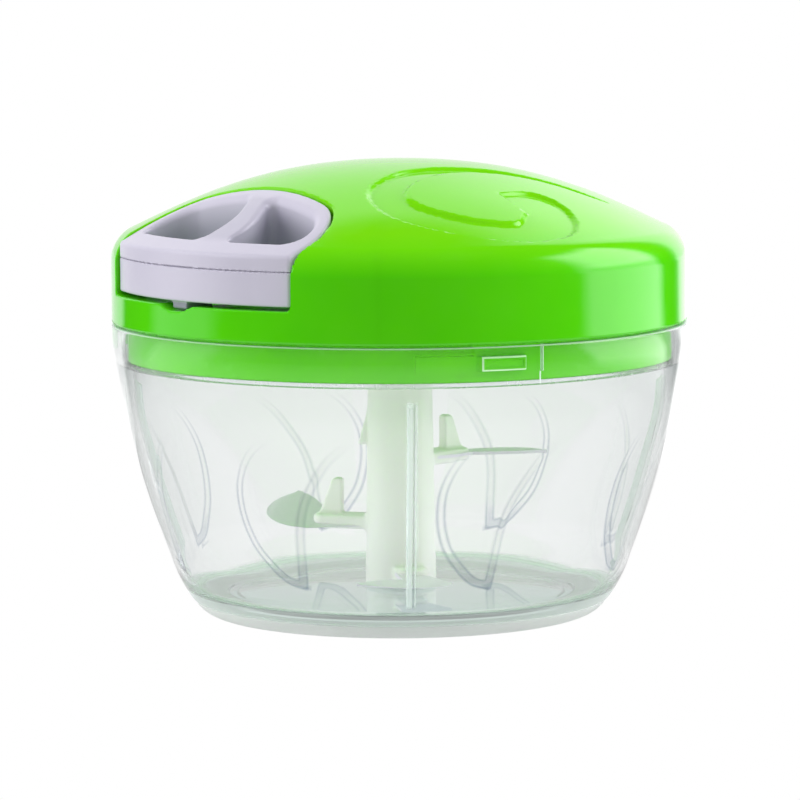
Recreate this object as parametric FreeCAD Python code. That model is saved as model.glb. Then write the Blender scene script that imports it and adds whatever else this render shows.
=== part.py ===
import FreeCAD, Part
import math
import os

# Pull-string food chopper: a clear bowl, a domed lid with the cord drum inside,
# a sliding grip in the lid's edge and a post with three blades.
# Millimetres, +Z up, origin at the centre of the foot's underside.
# The grip is pulled towards -Y.

V = FreeCAD.Vector
UP = V(0, 0, 1)

# Bowl
rim_radius = 62.5
bowl_height = 63.2
base_radius = 45.4
waist_radius = 50.2
waist_z = 12.8
wall = 2.2
wall_bulge = 1.25
corner_bulge = 0.5
floor_top = 5.4
floor_bottom = 3.2
floor_corner = 4.5
floor_corner_share = 0.34
straight_rim = 3.7
collar_wall = 2.9
collar_depth = 8.6
ledge_width = 2.2
ledge_slope = 2.4
pin_boss_radius = 5.0
pin_boss_height = 0.8
foot_rib_radius = 37.8
foot_rib_wall = 2.2
foot_rib_depth = 2.0

# Ribs and leaf-shaped dents of the bowl's wall
rib_count = 4
rib_angle = -38.5
rib_width = 2.0
rib_depth = 1.6
rib_top = 50.8
rib_steps = 6
leaf_count = 8
leaf_angle = -24.0
leaf_middle = 0.41
leaf_length = 33.0
leaf_width = 15.0
leaf_depth = 0.9
leaf_tilt = 10.0
leaf_roundness = 9.0

# Twist lock between collar and skirt
lug_count = 3
lug_angle = -20.0
lug_span = 9.4
lug_bottom = 2.4
lug_height = 3.0
lug_depth = 1.6
lock_turn = 13.0
lock_play = 0.35
entry_before = 1.8
entry_after = 3.3
channel_depth = 1.5

# Foot, pin and seal
foot_lip = 0.25
foot_toe = 4.4
foot_bulge = 0.5
foot_bulge_share = 0.38
foot_fit = 0.15
pin_radius = 2.0
pin_sink = 1.6
pin_top = 17.5
pin_tip = 0.8
seal_height = 1.0
seal_overhang = 0.7
seal_side_gap = 0.35
tongue_width = 0.8
tongue_height = 1.0
tongue_fit = 0.2

# Lid cover
lid_inset = 0.1
lid_gap = 0.4
lid_shoulder = 15.6
lid_height = 34.7
shoulder_radius = 4.0
dome_end_slope = 25.0
dome_shape = ((0.42, 0.153), (0.668, 0.43), (0.842, 0.71))
lid_wall = 2.2

# Lid base and its screws
skirt_gap = 0.7
skirt_wall = 2.0
plate_thickness = 2.0
plate_fit = 0.2
post_circle = 48.0
post_outer = 3.6
post_angles = (30, 90, 150, 210, 330)
lid_screw_radius = 1.3
lid_screw_head = 2.7
lid_screw_head_height = 1.3
lid_screw_length = 9.0
screw_fit = 0.05
screw_clearance = 0.2

# Shares of a screw's head and shank
head_crown_share = 0.72
head_side_share = 0.45
screw_point_share = 1.5
slot_width_share = 0.28
slot_length_share = 1.1
slot_depth_share = 0.6

# Bay for the grip
bay_floor = 6.9
bay_floor_wall = 2.0
bay_wall = 2.0
bay_play = 0.5
groove_width = 10.4
groove_wall_share = 0.7
groove_round_share = 0.7

# Grip
grip_half_width = 28.4
grip_inner = 34.5
grip_corner = 10.3
grip_side_run = 1.5
grip_inner_bend = 95.0
grip_inset = 0.7
grip_lift = 0.8
grip_split = 7.2
grip_rim = 3.9
grip_front_rim = 5.0
grip_sunk = 0.3
grip_edge = 0.9
hole_corner = 2.4
corner_turn = 30.0
divider_width = 7.0
divider_line = ((0.7, 0.02), (1.3, 0.24), (5.0, 0.48), (5.8, 0.68), (4.9, 0.94))
grip_screw_spread = 12.0
grip_screw_inset = 3.0
grip_screw_radius = 0.8
grip_screw_head = 1.4
grip_screw_head_height = 0.9
grip_screw_sink = 0.4
grip_screw_length = 7.5

# Cord, its drum and the return spring
cord_radius = 0.8
cord_level = 7.5
cord_gap = 0.2
cord_bend = 4.0
cord_turn_in = 2.4
winding_radius = 21.0
winding_turns = 6
turn_gap = 0.2
winding_fit = 0.02
flange_extra = 2.5
flange_thickness = 1.3
drum_wall = 3.6
drum_web = 2.0
drum_boss = 8.0
drum_boss_drop = 6.0
drum_boss_gap = 1.0
drum_head_gap = 0.5
axle_radius = 3.0
axle_fit = 0.06
axle_flange = 9.0
axle_flange_thickness = 2.0
axle_slot = 0.9
axle_slot_back = 0.5
axle_end_gap = 0.4
spring_strip = 0.4
spring_turns = 6
spring_inner = 4.4
spring_side_gap = 0.5
washer_gap = 1.2
washer_width = 4.8
washer_thickness = 0.9
running_gap = 0.1
small_screw_radius = 0.8
small_screw_head = 1.5
small_screw_head_height = 0.8
small_screw_length = 5.0
small_screw_count = 3
small_screw_start = 30.0
axle_screw_circle = 6.4
eyelet_wall = 0.8
eyelet_flange = 1.0
eyelet_flange_thickness = 0.8
eyelet_play = 0.2
knot_share = 1.9
knot_seat_share = 0.9
knot_play = 0.15
anchor_setback = 1.0
anchor_width = 4.6
anchor_length = 7.0
anchor_wall = 0.7
anchor_front_wall = 0.9
anchor_gap = 0.3

# Drive hub and blade assembly
hub_radius = 11.0
hub_gap = 0.4
hub_length = 11.7
hub_web = 1.5
hub_chamfer = 0.8
socket_flats = 9.6
socket_play = 0.2
post_base_radius = 7.7
post_top_radius = 7.0
post_neck_gap = 0.5
stub_gap = 0.5
pin_bore_play = 0.08
pin_bore_top = 0.6
hub_screw_radius = 1.25
hub_screw_head = 2.6
hub_screw_head_height = 1.1
blade_thickness = 0.8
blade_levels = (9.0, 19.1, 32.6)
blade_angles = (-26.0, -146.0, 94.0)
blade_pitches = (4.0, 12.0, 3.0)
blade_fins = (False, True, True)
blade_names = ("lower_blade", "middle_blade", "upper_blade")
arm_width = 7.0
arm_thickness = 3.0
arm_reaches = (12.0, 19.4, 19.4)
arm_corner = 2.6
fin_inner = 13.0
fin_outer = 19.1
fin_top = 2.2
fin_height = 7.9
fin_thickness = 2.4
web_root = 2.0
web_reach = 2.2
web_height = 8.0
web_level = 36.4
web_angle = -131.0
blade_back = (19.5, -5.9)
blade_belly = (29.4, -0.6)
blade_nose = (32.1, 6.0)
blade_nose_arc = (31.4, 12.2)
blade_tip = (28.2, 17.3)
blade_spine = (22.7, 12.2)
blade_heel = (18.4, 4.6)

# How far a cutting block runs past the face that it opens
over = 1.0

# The smallest length that counts as one
nearly = 0.001

# Spiral relief sunk into the dome
relief_depth = 0.8
relief_outer = (
    (36.6, -3.8),
    (37.6, 4.6),
    (43.0, 7.6),
    (51.5, 4.3),
    (56.0, -3.5),
    (54.6, -15.0),
    (46.0, -25.6),
    (33.5, -31.2),
    (21.5, -27.0),
    (15.6, -12.0),
    (19.0, 4.0),
    (27.5, 16.5),
    (37.5, 26.5),
)
relief_inner = (
    (35.4, 22.4),
    (27.8, 13.0),
    (22.8, 2.0),
    (21.6, -10.0),
    (26.0, -20.6),
    (33.6, -23.9),
    (43.5, -19.2),
    (48.8, -10.6),
    (45.6, -4.4),
)

# Levels that follow from the values above
ledge_z = bowl_height - collar_depth
lid_bottom = bowl_height + lid_gap
lid_radius = rim_radius - lid_inset
collar_inner = rim_radius - collar_wall
skirt_outer = collar_inner - skirt_gap
skirt_inner = skirt_outer - skirt_wall
skirt_bottom = ledge_z + seal_height
plate_bottom = lid_bottom
plate_top = plate_bottom + plate_thickness
bay_floor_z = lid_bottom + bay_floor
cord_z = lid_bottom + cord_level
trough_z = cord_z - cord_radius - anchor_wall - anchor_gap
winding_pitch = 2 * cord_radius + turn_gap
drum_bottom = plate_top + washer_thickness + running_gap
winding_bottom = drum_bottom + flange_thickness + cord_gap
winding_top = winding_bottom + winding_pitch * (winding_turns - 1) + 2 * cord_radius
cover_bottom = winding_top + cord_gap
cover_top = cover_bottom + flange_thickness
core_radius = winding_radius - cord_radius
flange_radius = winding_radius + flange_extra
spring_room = core_radius - drum_wall
drum_rim_middle = (core_radius + spring_room) / 2
axle_flange_bottom = cover_top + small_screw_head_height + drum_head_gap
axle_flange_top = axle_flange_bottom + axle_flange_thickness
hub_top = plate_bottom - hub_gap
hub_bottom = hub_top - hub_length
drum_boss_bottom = drum_bottom - drum_boss_drop
neck_z = hub_bottom - post_neck_gap
post_bottom = floor_top + pin_boss_height
bay_inner = grip_inner - bay_play
bay_outer = lid_radius + 5 * over
grip_outer = lid_radius - grip_inset
grip_low = bay_floor_z + grip_lift
screw_hole_radius = lid_screw_radius + screw_clearance
lid_high = lid_bottom + lid_height + 5 * over
knot_radius = cord_radius * knot_share
anchor_front = grip_outer - anchor_setback
lead_end = anchor_front - anchor_front_wall - knot_play - 2 * knot_radius
eyelet_radius = cord_radius + cord_gap + eyelet_play + eyelet_wall


def outline(*parts):
    """One closed wire from runs of two points (a line) or three points (an arc)."""
    edges = []
    for part in parts:
        points = [V(*p) for p in part]
        if len(points) == 2:
            edges.append(Part.LineSegment(*points).toShape())
        else:
            edges.append(Part.Arc(*points).toShape())
    return Part.Wire(edges)


def polygon(points):
    return Part.makePolygon([V(*p) for p in points] + [V(*points[0])])


def section(*parts):
    """A closed wire in the XZ plane from runs of (radius, height) points."""
    return outline(*[[(r, 0, z) for r, z in part] for part in parts])


def spin(wire):
    return Part.Face(wire).revolve(V(0, 0, 0), UP, 360)


def lathe(points):
    return spin(polygon([(r, 0, z) for r, z in points]))


def tube(inner, outer, low, high):
    solid = Part.makeCylinder(outer, high - low, V(0, 0, low))
    if inner > 0:
        solid = solid.cut(Part.makeCylinder(inner, high - low, V(0, 0, low)))
    return solid


def rod(radius, low, high, x=0, y=0):
    return Part.makeCylinder(radius, high - low, V(x, y, low))


def raised(wire, low, high):
    moved = wire.copy()
    moved.translate(V(0, 0, low))
    return Part.Face(moved).extrude(V(0, 0, high - low))


def turned(shape, angle):
    copy = shape.copy()
    copy.rotate(V(0, 0, 0), UP, angle)
    return copy


def polar(radius, angle):
    a = math.radians(angle)
    return radius * math.cos(a), radius * math.sin(a)


def sector(inner, outer, low, high, start, end):
    """A block between two radii, two heights and two angles."""
    middle = (start + end) / 2
    points = {}
    for name, radius in (("i", inner), ("o", outer)):
        for place, angle in (("s", start), ("m", middle), ("e", end)):
            x, y = polar(radius, angle)
            points[name + place] = (x, y, 0)
    wire = outline(
        (points["is"], points["os"]),
        (points["os"], points["om"], points["oe"]),
        (points["oe"], points["ie"]),
        (points["ie"], points["im"], points["is"]),
    )
    return raised(wire, low, high)


def midway(a, b, bulge):
    """The middle of an arc from a to b that bulges to the right of the way."""
    dx = b[0] - a[0]
    dz = b[1] - a[1]
    length = math.hypot(dx, dz)
    return ((a[0] + b[0]) / 2 + bulge * dz / length, (a[1] + b[1]) / 2 - bulge * dx / length)


def save(name, shape):
    if len(shape.Solids) == 1:
        shape = shape.Solids[0]
    shape.exportStep("parts/%s.step" % name)
    print(name, len(shape.Solids), "solids", round(shape.Volume, 1), "mm3", shape.isValid())


def screw(radius, head, head_height, length):
    """A pan-head screw that points up, with its head's upper side at height 0."""
    crown = head * head_crown_share
    side = head_height * head_side_share
    head_points = ((0, -head_height), (crown, -head_height), (head, -side))
    point = length - radius * screw_point_share
    shank_points = ((head, 0), (radius, 0), (radius, point), (0, length))
    body = lathe(head_points + shank_points)
    slot = head * slot_width_share
    reach = head * slot_length_share
    depth = head_height * slot_depth_share
    for angle in (0, 90):
        bar = Part.makeBox(reach, slot, depth, V(-reach / 2, -slot / 2, -head_height))
        body = body.cut(turned(bar, angle))
    return body


def placed(shape, x, y, z):
    copy = shape.copy()
    copy.translate(V(x, y, z))
    return copy


# The bowl's wall, as arcs through the rim, the waist and the base
taper_z = bowl_height - straight_rim
wall_top = (rim_radius, taper_z)
wall_waist = (waist_radius, waist_z)
wall_base = (base_radius, floor_bottom)
wall_lean = math.atan2(rim_radius - waist_radius, taper_z - waist_z)


def inner_wall(z):
    """Radius of the bowl's inner face at a height between waist and ledge."""
    share = (z - waist_z) / (taper_z - waist_z)
    chord = waist_radius + (rim_radius - waist_radius) * share
    bow = wall_bulge * 4 * share * (1 - share) / math.cos(wall_lean)
    return chord + bow - wall / math.cos(wall_lean)


def bowl_shell():
    low_inner = (inner_wall(waist_z + wall), waist_z + wall)
    high_z = ledge_z - ledge_slope
    high_inner = (inner_wall(high_z), high_z)
    mid_z = (low_inner[1] + high_z) / 2
    floor_edge = (low_inner[0] - floor_corner, floor_top)
    corner_z = floor_top + (low_inner[1] - floor_top) * floor_corner_share
    corner_mid = (low_inner[0] - floor_corner * floor_corner_share, corner_z)
    ledge_inner = collar_inner - ledge_width
    rib_inner = foot_rib_radius - foot_rib_wall
    rib_low = floor_bottom - foot_rib_depth
    profile = section(
        ((0, floor_bottom), (rib_inner, floor_bottom)),
        ((rib_inner, floor_bottom), (rib_inner, rib_low)),
        ((rib_inner, rib_low), (foot_rib_radius, rib_low)),
        ((foot_rib_radius, rib_low), (foot_rib_radius, floor_bottom)),
        ((foot_rib_radius, floor_bottom), wall_base),
        (wall_base, midway(wall_base, wall_waist, corner_bulge), wall_waist),
        (wall_waist, midway(wall_waist, wall_top, wall_bulge), wall_top),
        (wall_top, (rim_radius, bowl_height)),
        ((rim_radius, bowl_height), (collar_inner, bowl_height)),
        ((collar_inner, bowl_height), (collar_inner, ledge_z)),
        ((collar_inner, ledge_z), (ledge_inner, ledge_z)),
        ((ledge_inner, ledge_z), high_inner),
        (high_inner, (inner_wall(mid_z), mid_z), low_inner),
        (low_inner, corner_mid, floor_edge),
        (floor_edge, (pin_boss_radius + pin_boss_height, floor_top)),
        ((pin_boss_radius + pin_boss_height, floor_top), (pin_boss_radius, post_bottom)),
        ((pin_boss_radius, post_bottom), (0, post_bottom)),
        ((0, post_bottom), (0, floor_bottom)),
    )
    return spin(profile)


def wall_rib(core, form):
    """One upright rib on the inside of the bowl's wall."""
    block = Part.makeBox(rim_radius, rib_width, rib_top - floor_top, V(0, -rib_width / 2, floor_top))
    return block.cut(core).common(form)


def bowl_form():
    """The bowl's outer form as a full solid."""
    return spin(section(
        ((0, floor_bottom), wall_base),
        (wall_base, midway(wall_base, wall_waist, corner_bulge), wall_waist),
        (wall_waist, midway(wall_waist, wall_top, wall_bulge), wall_top),
        (wall_top, (0, taper_z)),
        ((0, taper_z), (0, floor_bottom)),
    ))


def rib_core():
    """The bowl's hollow, drawn in by the depth of the ribs."""
    low_z = floor_top - over
    high_z = rib_top + over
    points = [(0, low_z)]
    for step in range(rib_steps + 1):
        z = low_z + (high_z - low_z) * step / rib_steps
        radius = inner_wall(max(z, waist_z + wall)) - rib_depth
        if z < waist_z + wall:
            radius -= floor_corner * (waist_z + wall - z) / (waist_z + wall - floor_top)
        points.append((radius, z))
    points.append((0, high_z))
    return lathe(points)


def leaf_cutter():
    """A flat ellipsoid that leaves a leaf-shaped dent in the wall."""
    z = waist_z + (taper_z - waist_z) * leaf_middle
    grow = math.sqrt(leaf_roundness / (2 * leaf_depth))
    ball = Part.makeSphere(1.0)
    stretch = FreeCAD.Matrix()
    stretch.A11 = leaf_roundness
    stretch.A22 = leaf_width / 2 * grow
    stretch.A33 = leaf_length / 2 * grow
    ball = ball.transformGeometry(stretch)
    ball.rotate(V(0, 0, 0), V(1, 0, 0), -leaf_tilt)
    ball.rotate(V(0, 0, 0), V(0, 1, 0), math.degrees(wall_lean))
    radius = inner_wall(z) + wall / math.cos(wall_lean)
    reach = leaf_roundness - leaf_depth
    return placed(ball, radius + reach * math.cos(wall_lean), 0, z - reach * math.sin(wall_lean))


def lock_channel():
    """Entry slot and side run of the twist lock, cut into the collar."""
    outer = collar_inner + channel_depth
    play = math.degrees(lock_play / collar_inner)
    low = skirt_bottom + lug_bottom - lock_play
    high = low + lug_height + 2 * lock_play
    start = lug_angle - lug_span / 2
    end = lug_angle + lug_span / 2 + entry_after
    inner = collar_inner - over
    entry = sector(inner, outer, low, bowl_height + over, start - entry_before, end)
    run = sector(inner, outer, low, high, start - lock_turn - play, end)
    return entry.fuse(run)


def make_bowl():
    shell = bowl_shell()
    core = rib_core()
    form = bowl_form()
    for number in range(rib_count):
        shell = shell.fuse(turned(wall_rib(core, form), rib_angle + number * 360 / rib_count))
    for number in range(leaf_count):
        shell = shell.cut(turned(leaf_cutter(), leaf_angle + number * 360 / leaf_count))
    for number in range(lug_count):
        shell = shell.cut(turned(lock_channel(), number * 360 / lug_count))
    hole = rod(pin_radius, floor_bottom + pin_sink, post_bottom + over)
    return shell.cut(hole)


def make_pivot_pin():
    low = floor_bottom + pin_sink
    return lathe((
        (0, low), (pin_radius, low), (pin_radius, pin_top - pin_tip),
        (pin_radius - pin_tip, pin_top), (0, pin_top),
    ))


def make_foot():
    inner = foot_rib_radius + foot_fit
    outer = base_radius - foot_lip
    toe = base_radius - foot_toe
    side = ((outer + toe) / 2 + foot_bulge, floor_bottom * foot_bulge_share)
    return spin(section(
        ((inner, 0), (toe, 0)),
        ((toe, 0), side, (outer, floor_bottom)),
        ((outer, floor_bottom), (inner, floor_bottom)),
        ((inner, floor_bottom), (inner, 0)),
    ))


def make_seal():
    outer = collar_inner - seal_side_gap
    inner = skirt_inner - seal_overhang
    middle = (skirt_inner + skirt_outer) / 2
    left = middle - tongue_width / 2
    right = middle + tongue_width / 2
    lip = outer - seal_height / 2
    tongue_top = skirt_bottom + tongue_height
    return spin(section(
        ((inner, ledge_z), (lip, ledge_z)),
        ((lip, ledge_z), (outer, ledge_z + seal_height / 2), (lip, skirt_bottom)),
        ((lip, skirt_bottom), (right, skirt_bottom)),
        ((right, skirt_bottom), (right, tongue_top)),
        ((right, tongue_top), (left, tongue_top)),
        ((left, tongue_top), (left, skirt_bottom)),
        ((left, skirt_bottom), (inner, skirt_bottom)),
        ((inner, skirt_bottom), (inner, ledge_z)),
    ))


def dome(inset, drop, low, edge_radius=shoulder_radius):
    """The lid's outer form, drawn in by an inset and lowered by a drop."""
    top = lid_bottom + lid_height - drop
    slope = math.radians(dome_end_slope)
    side_r = lid_radius - inset
    round_r = side_r - shoulder_radius * (1 - math.sin(slope))
    round_z = lid_bottom + lid_shoulder - drop + shoulder_radius * math.cos(slope)
    points = [V(0, 0, top)]
    for share, fall in dome_shape:
        points.append(V(round_r * share, 0, top - (top - round_z) * fall))
    points.append(V(round_r, 0, round_z))
    crown = Part.BSplineCurve()
    crown.interpolate(
        Points=points,
        InitialTangent=V(1, 0, 0),
        FinalTangent=V(math.cos(slope), 0, -math.sin(slope)),
    )
    run = (side_r - edge_radius * (1 - math.sin(slope))) - round_r
    edge = (round_r + run, round_z - run * math.tan(slope))
    centre = (side_r - edge_radius, edge[1] - edge_radius * math.cos(slope))
    half = (math.pi / 2 - slope) / 2
    knee = (centre[0] + edge_radius * math.cos(half), centre[1] + edge_radius * math.sin(half))
    edges = [crown.toShape()]
    if run > nearly:
        edges.append(Part.LineSegment(V(round_r, 0, round_z), V(edge[0], 0, edge[1])).toShape())
    side = (side_r, centre[1])
    shoulder = Part.Arc(V(edge[0], 0, edge[1]), V(knee[0], 0, knee[1]), V(side[0], 0, side[1]))
    edges.append(shoulder.toShape())
    edges.append(Part.LineSegment(V(side[0], 0, side[1]), V(side[0], 0, low)).toShape())
    edges.append(Part.LineSegment(V(side[0], 0, low), V(0, 0, low)).toShape())
    edges.append(Part.LineSegment(V(0, 0, low), V(0, 0, top)).toShape())
    return spin(Part.Wire(edges))


def corner_limit(grow, outer):
    """The largest corner radius that leaves the grip's side a straight run."""
    half = grip_half_width + grow
    bend = grip_inner_bend + grow
    low_y = -math.sqrt(outer ** 2 - half ** 2)
    reach = low_y + grip_side_run + grip_inner + grip_inner_bend
    return (bend + half - reach ** 2 / (bend - half)) / 2


def grip_outline(grow, outer):
    """Top view of the grip, grown by a distance, out to a radius round the Z axis."""
    half = grip_half_width + grow
    inner_y = -(grip_inner - grow)
    corner = min(grip_corner, corner_limit(0, grip_outer)) + grow
    corner = min(corner, corner_limit(grow, outer))
    bend = grip_inner_bend + grow
    bend_y = inner_y - bend
    corner_x = half - corner
    corner_y = bend_y + math.sqrt((bend - corner) ** 2 - corner_x ** 2)
    touch = (corner_x * bend / (bend - corner), bend_y + (corner_y - bend_y) * bend / (bend - corner))
    middle = math.atan2(touch[1] - corner_y, touch[0] - corner_x) / 2
    knee = (corner_x + corner * math.cos(middle), corner_y + corner * math.sin(middle))
    low_y = -math.sqrt(outer ** 2 - half ** 2)
    return outline(
        ((-half, low_y, 0), (0, -outer, 0), (half, low_y, 0)),
        ((half, low_y, 0), (half, corner_y, 0)),
        ((half, corner_y, 0), (knee[0], knee[1], 0), (touch[0], touch[1], 0)),
        ((touch[0], touch[1], 0), (0, inner_y, 0), (-touch[0], touch[1], 0)),
        ((-touch[0], touch[1], 0), (-knee[0], knee[1], 0), (-half, corner_y, 0)),
        ((-half, corner_y, 0), (-half, low_y, 0)),
    )


def groove_block(width, low, high, near, far):
    """A straight trough with a round bottom, along Y."""
    half = width / 2
    knee = low + min(half, high - low) * groove_round_share
    wire = outline(
        ((-half, 0, high), (-half, 0, knee)),
        ((-half, 0, knee), (0, 0, low), (half, 0, knee)),
        ((half, 0, knee), (half, 0, high)),
        ((half, 0, high), (-half, 0, high)),
    )
    wire.translate(V(0, -near, 0))
    return Part.Face(wire).extrude(V(0, near - far, 0))


def relief_band():
    """The spiral band in top view: two smooth edges from its root to its tail."""
    outer = Part.BSplineCurve()
    outer.interpolate([V(x, y, 0) for x, y in relief_outer])
    inner = Part.BSplineCurve()
    inner.interpolate([V(x, y, 0) for x, y in relief_inner])
    tail = Part.LineSegment(V(*relief_outer[-1], 0), V(*relief_inner[0], 0))
    root = Part.LineSegment(V(*relief_inner[-1], 0), V(*relief_outer[0], 0))
    return Part.Wire([outer.toShape(), tail.toShape(), inner.toShape(), root.toShape()])


def make_lid_cover():
    outer = dome(0, 0, lid_bottom)
    inner = dome(lid_wall, lid_wall, lid_bottom)
    high = lid_high
    bay_low = bay_floor_z - bay_floor_wall
    pocket_skin = raised(grip_outline(bay_play + bay_wall, bay_outer), bay_low, high)
    skin_low = trough_z - bay_floor_wall * groove_wall_share
    skin_width = groove_width + 2 * bay_wall
    trough_skin = groove_block(skin_width, skin_low, bay_floor_z, bay_inner - bay_wall, bay_outer)
    hollow = inner.cut(pocket_skin).cut(trough_skin)
    for angle in post_angles:
        x, y = polar(post_circle, angle)
        hollow = hollow.cut(rod(post_outer, plate_top, high, x, y))
    hollow = hollow.cut(rod(axle_flange, axle_flange_top, high))
    cover = outer.cut(hollow)
    cover = cover.cut(raised(grip_outline(bay_play, bay_outer), bay_floor_z, high))
    cover = cover.cut(groove_block(groove_width, trough_z, bay_floor_z + over, bay_inner, bay_outer))
    sleeve_start = V(0, -bay_inner - bay_wall, cord_z)
    cover = cover.cut(Part.makeCylinder(eyelet_radius, 3 * bay_wall, sleeve_start, V(0, 1, 0)))
    for angle in post_angles:
        x, y = polar(post_circle, angle)
        top = plate_bottom + lid_screw_length + over
        cover = cover.cut(rod(lid_screw_radius + screw_fit, plate_top - over, top, x, y))
    for x, y in small_screw_places(axle_screw_circle, small_screw_start):
        top = axle_flange_top + small_screw_length
        cover = cover.cut(rod(small_screw_radius + screw_fit, axle_flange_top - over, top, x, y))
    sunk = dome(0, relief_depth, lid_bottom)
    band = raised(relief_band(), lid_bottom + lid_shoulder, high).cut(sunk)
    return cover.cut(band)


def make_lid_base():
    plate = tube(0, lid_radius - lid_wall - plate_fit, plate_bottom, plate_top)
    skirt = tube(skirt_inner, skirt_outer, skirt_bottom, plate_bottom)
    base = plate.fuse(skirt)
    middle = (skirt_inner + skirt_outer) / 2
    half = tongue_width / 2 + tongue_fit
    groove_top = skirt_bottom + tongue_height + tongue_fit
    base = base.cut(tube(middle - half, middle + half, skirt_bottom, groove_top))
    low = skirt_bottom + lug_bottom
    for number in range(lug_count):
        lug = sector(
            skirt_outer - skirt_wall / 2,
            skirt_outer + lug_depth,
            low,
            low + lug_height,
            lug_angle - lug_span / 2,
            lug_angle + lug_span / 2,
        )
        base = base.fuse(turned(lug, number * 360 / lug_count))
    low = plate_bottom - over
    high = plate_top + over
    base = base.cut(rod(drum_boss + drum_boss_gap, low, high))
    for angle in post_angles:
        x, y = polar(post_circle, angle)
        base = base.cut(rod(screw_hole_radius, low, high, x, y))
    return base


def make_lid_screws():
    one = screw(lid_screw_radius, lid_screw_head, lid_screw_head_height, lid_screw_length)
    places = [polar(post_circle, angle) for angle in post_angles]
    return Part.makeCompound([placed(one, x, y, plate_bottom) for x, y in places])


def make_eyelet():
    bore = eyelet_radius - eyelet_wall
    flange = eyelet_radius + eyelet_flange
    length = bay_wall + eyelet_flange_thickness
    ring = lathe((
        (bore, 0),
        (eyelet_radius, 0),
        (eyelet_radius, bay_wall),
        (flange, bay_wall),
        (flange, length),
        (bore, length),
    ))
    ring.rotate(V(0, 0, 0), V(1, 0, 0), -90)
    return placed(ring, 0, -bay_inner, cord_z)


def make_axle():
    low = drum_bottom + axle_end_gap
    axle = tube(0, axle_radius, low, axle_flange_top)
    axle = axle.fuse(tube(0, axle_flange, axle_flange_bottom, axle_flange_top))
    slot_low = drum_bottom + drum_web + spring_side_gap / 2
    corner = V(-axle_slot_back, -axle_slot / 2, slot_low)
    axle = axle.cut(Part.makeBox(2 * axle_radius, axle_slot, cover_bottom - slot_low, corner))
    low = axle_flange_bottom - over
    high = axle_flange_top + over
    for x, y in small_screw_places(axle_screw_circle, small_screw_start):
        axle = axle.cut(rod(small_screw_radius + screw_clearance, low, high, x, y))
    return axle


def small_screw_places(circle, start):
    """Where the small screws stand on their circle."""
    return [polar(circle, start + number * 360 / small_screw_count) for number in range(small_screw_count)]


def make_axle_screws():
    length = axle_flange_thickness + small_screw_length - over
    one = screw(small_screw_radius, small_screw_head, small_screw_head_height, length)
    places = small_screw_places(axle_screw_circle, small_screw_start)
    return Part.makeCompound([placed(one, x, y, axle_flange_bottom) for x, y in places])


def spiral_side(start_radius, growth, turns):
    """A spiral as half turns, growing by the same step each turn."""
    edges = []
    radius = start_radius
    x = start_radius
    sign = 1
    for half in range(2 * turns):
        bigger = radius + growth / 2
        end = -sign * bigger
        centre = (x + end) / 2
        reach = abs(x - end) / 2
        edges.append(Part.Arc(V(x, 0, 0), V(centre, sign * reach, 0), V(end, 0, 0)).toShape())
        x = end
        radius = bigger
        sign = -sign
    return edges, x


def make_spring():
    room = spring_room - spring_side_gap - spring_strip
    growth = (room - spring_inner) / spring_turns
    inner_edges, inner_end = spiral_side(spring_inner, growth, spring_turns)
    outer_edges, outer_end = spiral_side(spring_inner + spring_strip, growth, spring_turns)
    start = Part.LineSegment(V(spring_inner, 0, 0), V(spring_inner + spring_strip, 0, 0)).toShape()
    end = Part.LineSegment(V(outer_end, 0, 0), V(inner_end, 0, 0)).toShape()
    wire = Part.Wire(Part.__sortEdges__(inner_edges + outer_edges + [start, end]))
    low = drum_bottom + drum_web + spring_side_gap
    high = cover_bottom - spring_side_gap
    strip = raised(wire, low, high)
    corner = V(spring_strip, -spring_strip / 2, low)
    hook = Part.makeBox(spring_inner, spring_strip, high - low, corner)
    return strip.fuse(hook).removeSplitter()


def make_washer():
    inner = drum_boss + washer_gap
    return tube(inner, inner + washer_width, plate_top, plate_top + washer_thickness)


def make_drum():
    drum = lathe((
        (0, drum_boss_bottom),
        (drum_boss, drum_boss_bottom),
        (drum_boss, drum_bottom),
        (flange_radius, drum_bottom),
        (flange_radius, drum_bottom + flange_thickness),
        (core_radius, drum_bottom + flange_thickness),
        (core_radius, cover_bottom),
        (spring_room, cover_bottom),
        (spring_room, drum_bottom + drum_web),
        (axle_radius + axle_fit, drum_bottom + drum_web),
        (axle_radius + axle_fit, drum_bottom),
        (0, drum_bottom),
    ))
    drum = drum.cut(rod(hub_screw_radius + screw_fit, drum_boss_bottom - over, drum_bottom - over))
    low = cover_bottom - small_screw_length
    for x, y in small_screw_places(drum_rim_middle, 3 * small_screw_start):
        drum = drum.cut(rod(small_screw_radius + screw_fit, low, cover_top, x, y))
    return drum


def make_spring_cover():
    cover = tube(axle_radius + axle_fit, flange_radius, cover_bottom, cover_top)
    low = cover_bottom - over
    high = cover_top + over
    for x, y in small_screw_places(drum_rim_middle, 3 * small_screw_start):
        cover = cover.cut(rod(small_screw_radius + screw_clearance, low, high, x, y))
    return cover


def make_cover_screws():
    one = screw(small_screw_radius, small_screw_head, small_screw_head_height, small_screw_length)
    one.rotate(V(0, 0, 0), V(1, 0, 0), 180)
    places = small_screw_places(drum_rim_middle, 3 * small_screw_start)
    return Part.makeCompound([placed(one, x, y, cover_top) for x, y in places])


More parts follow.
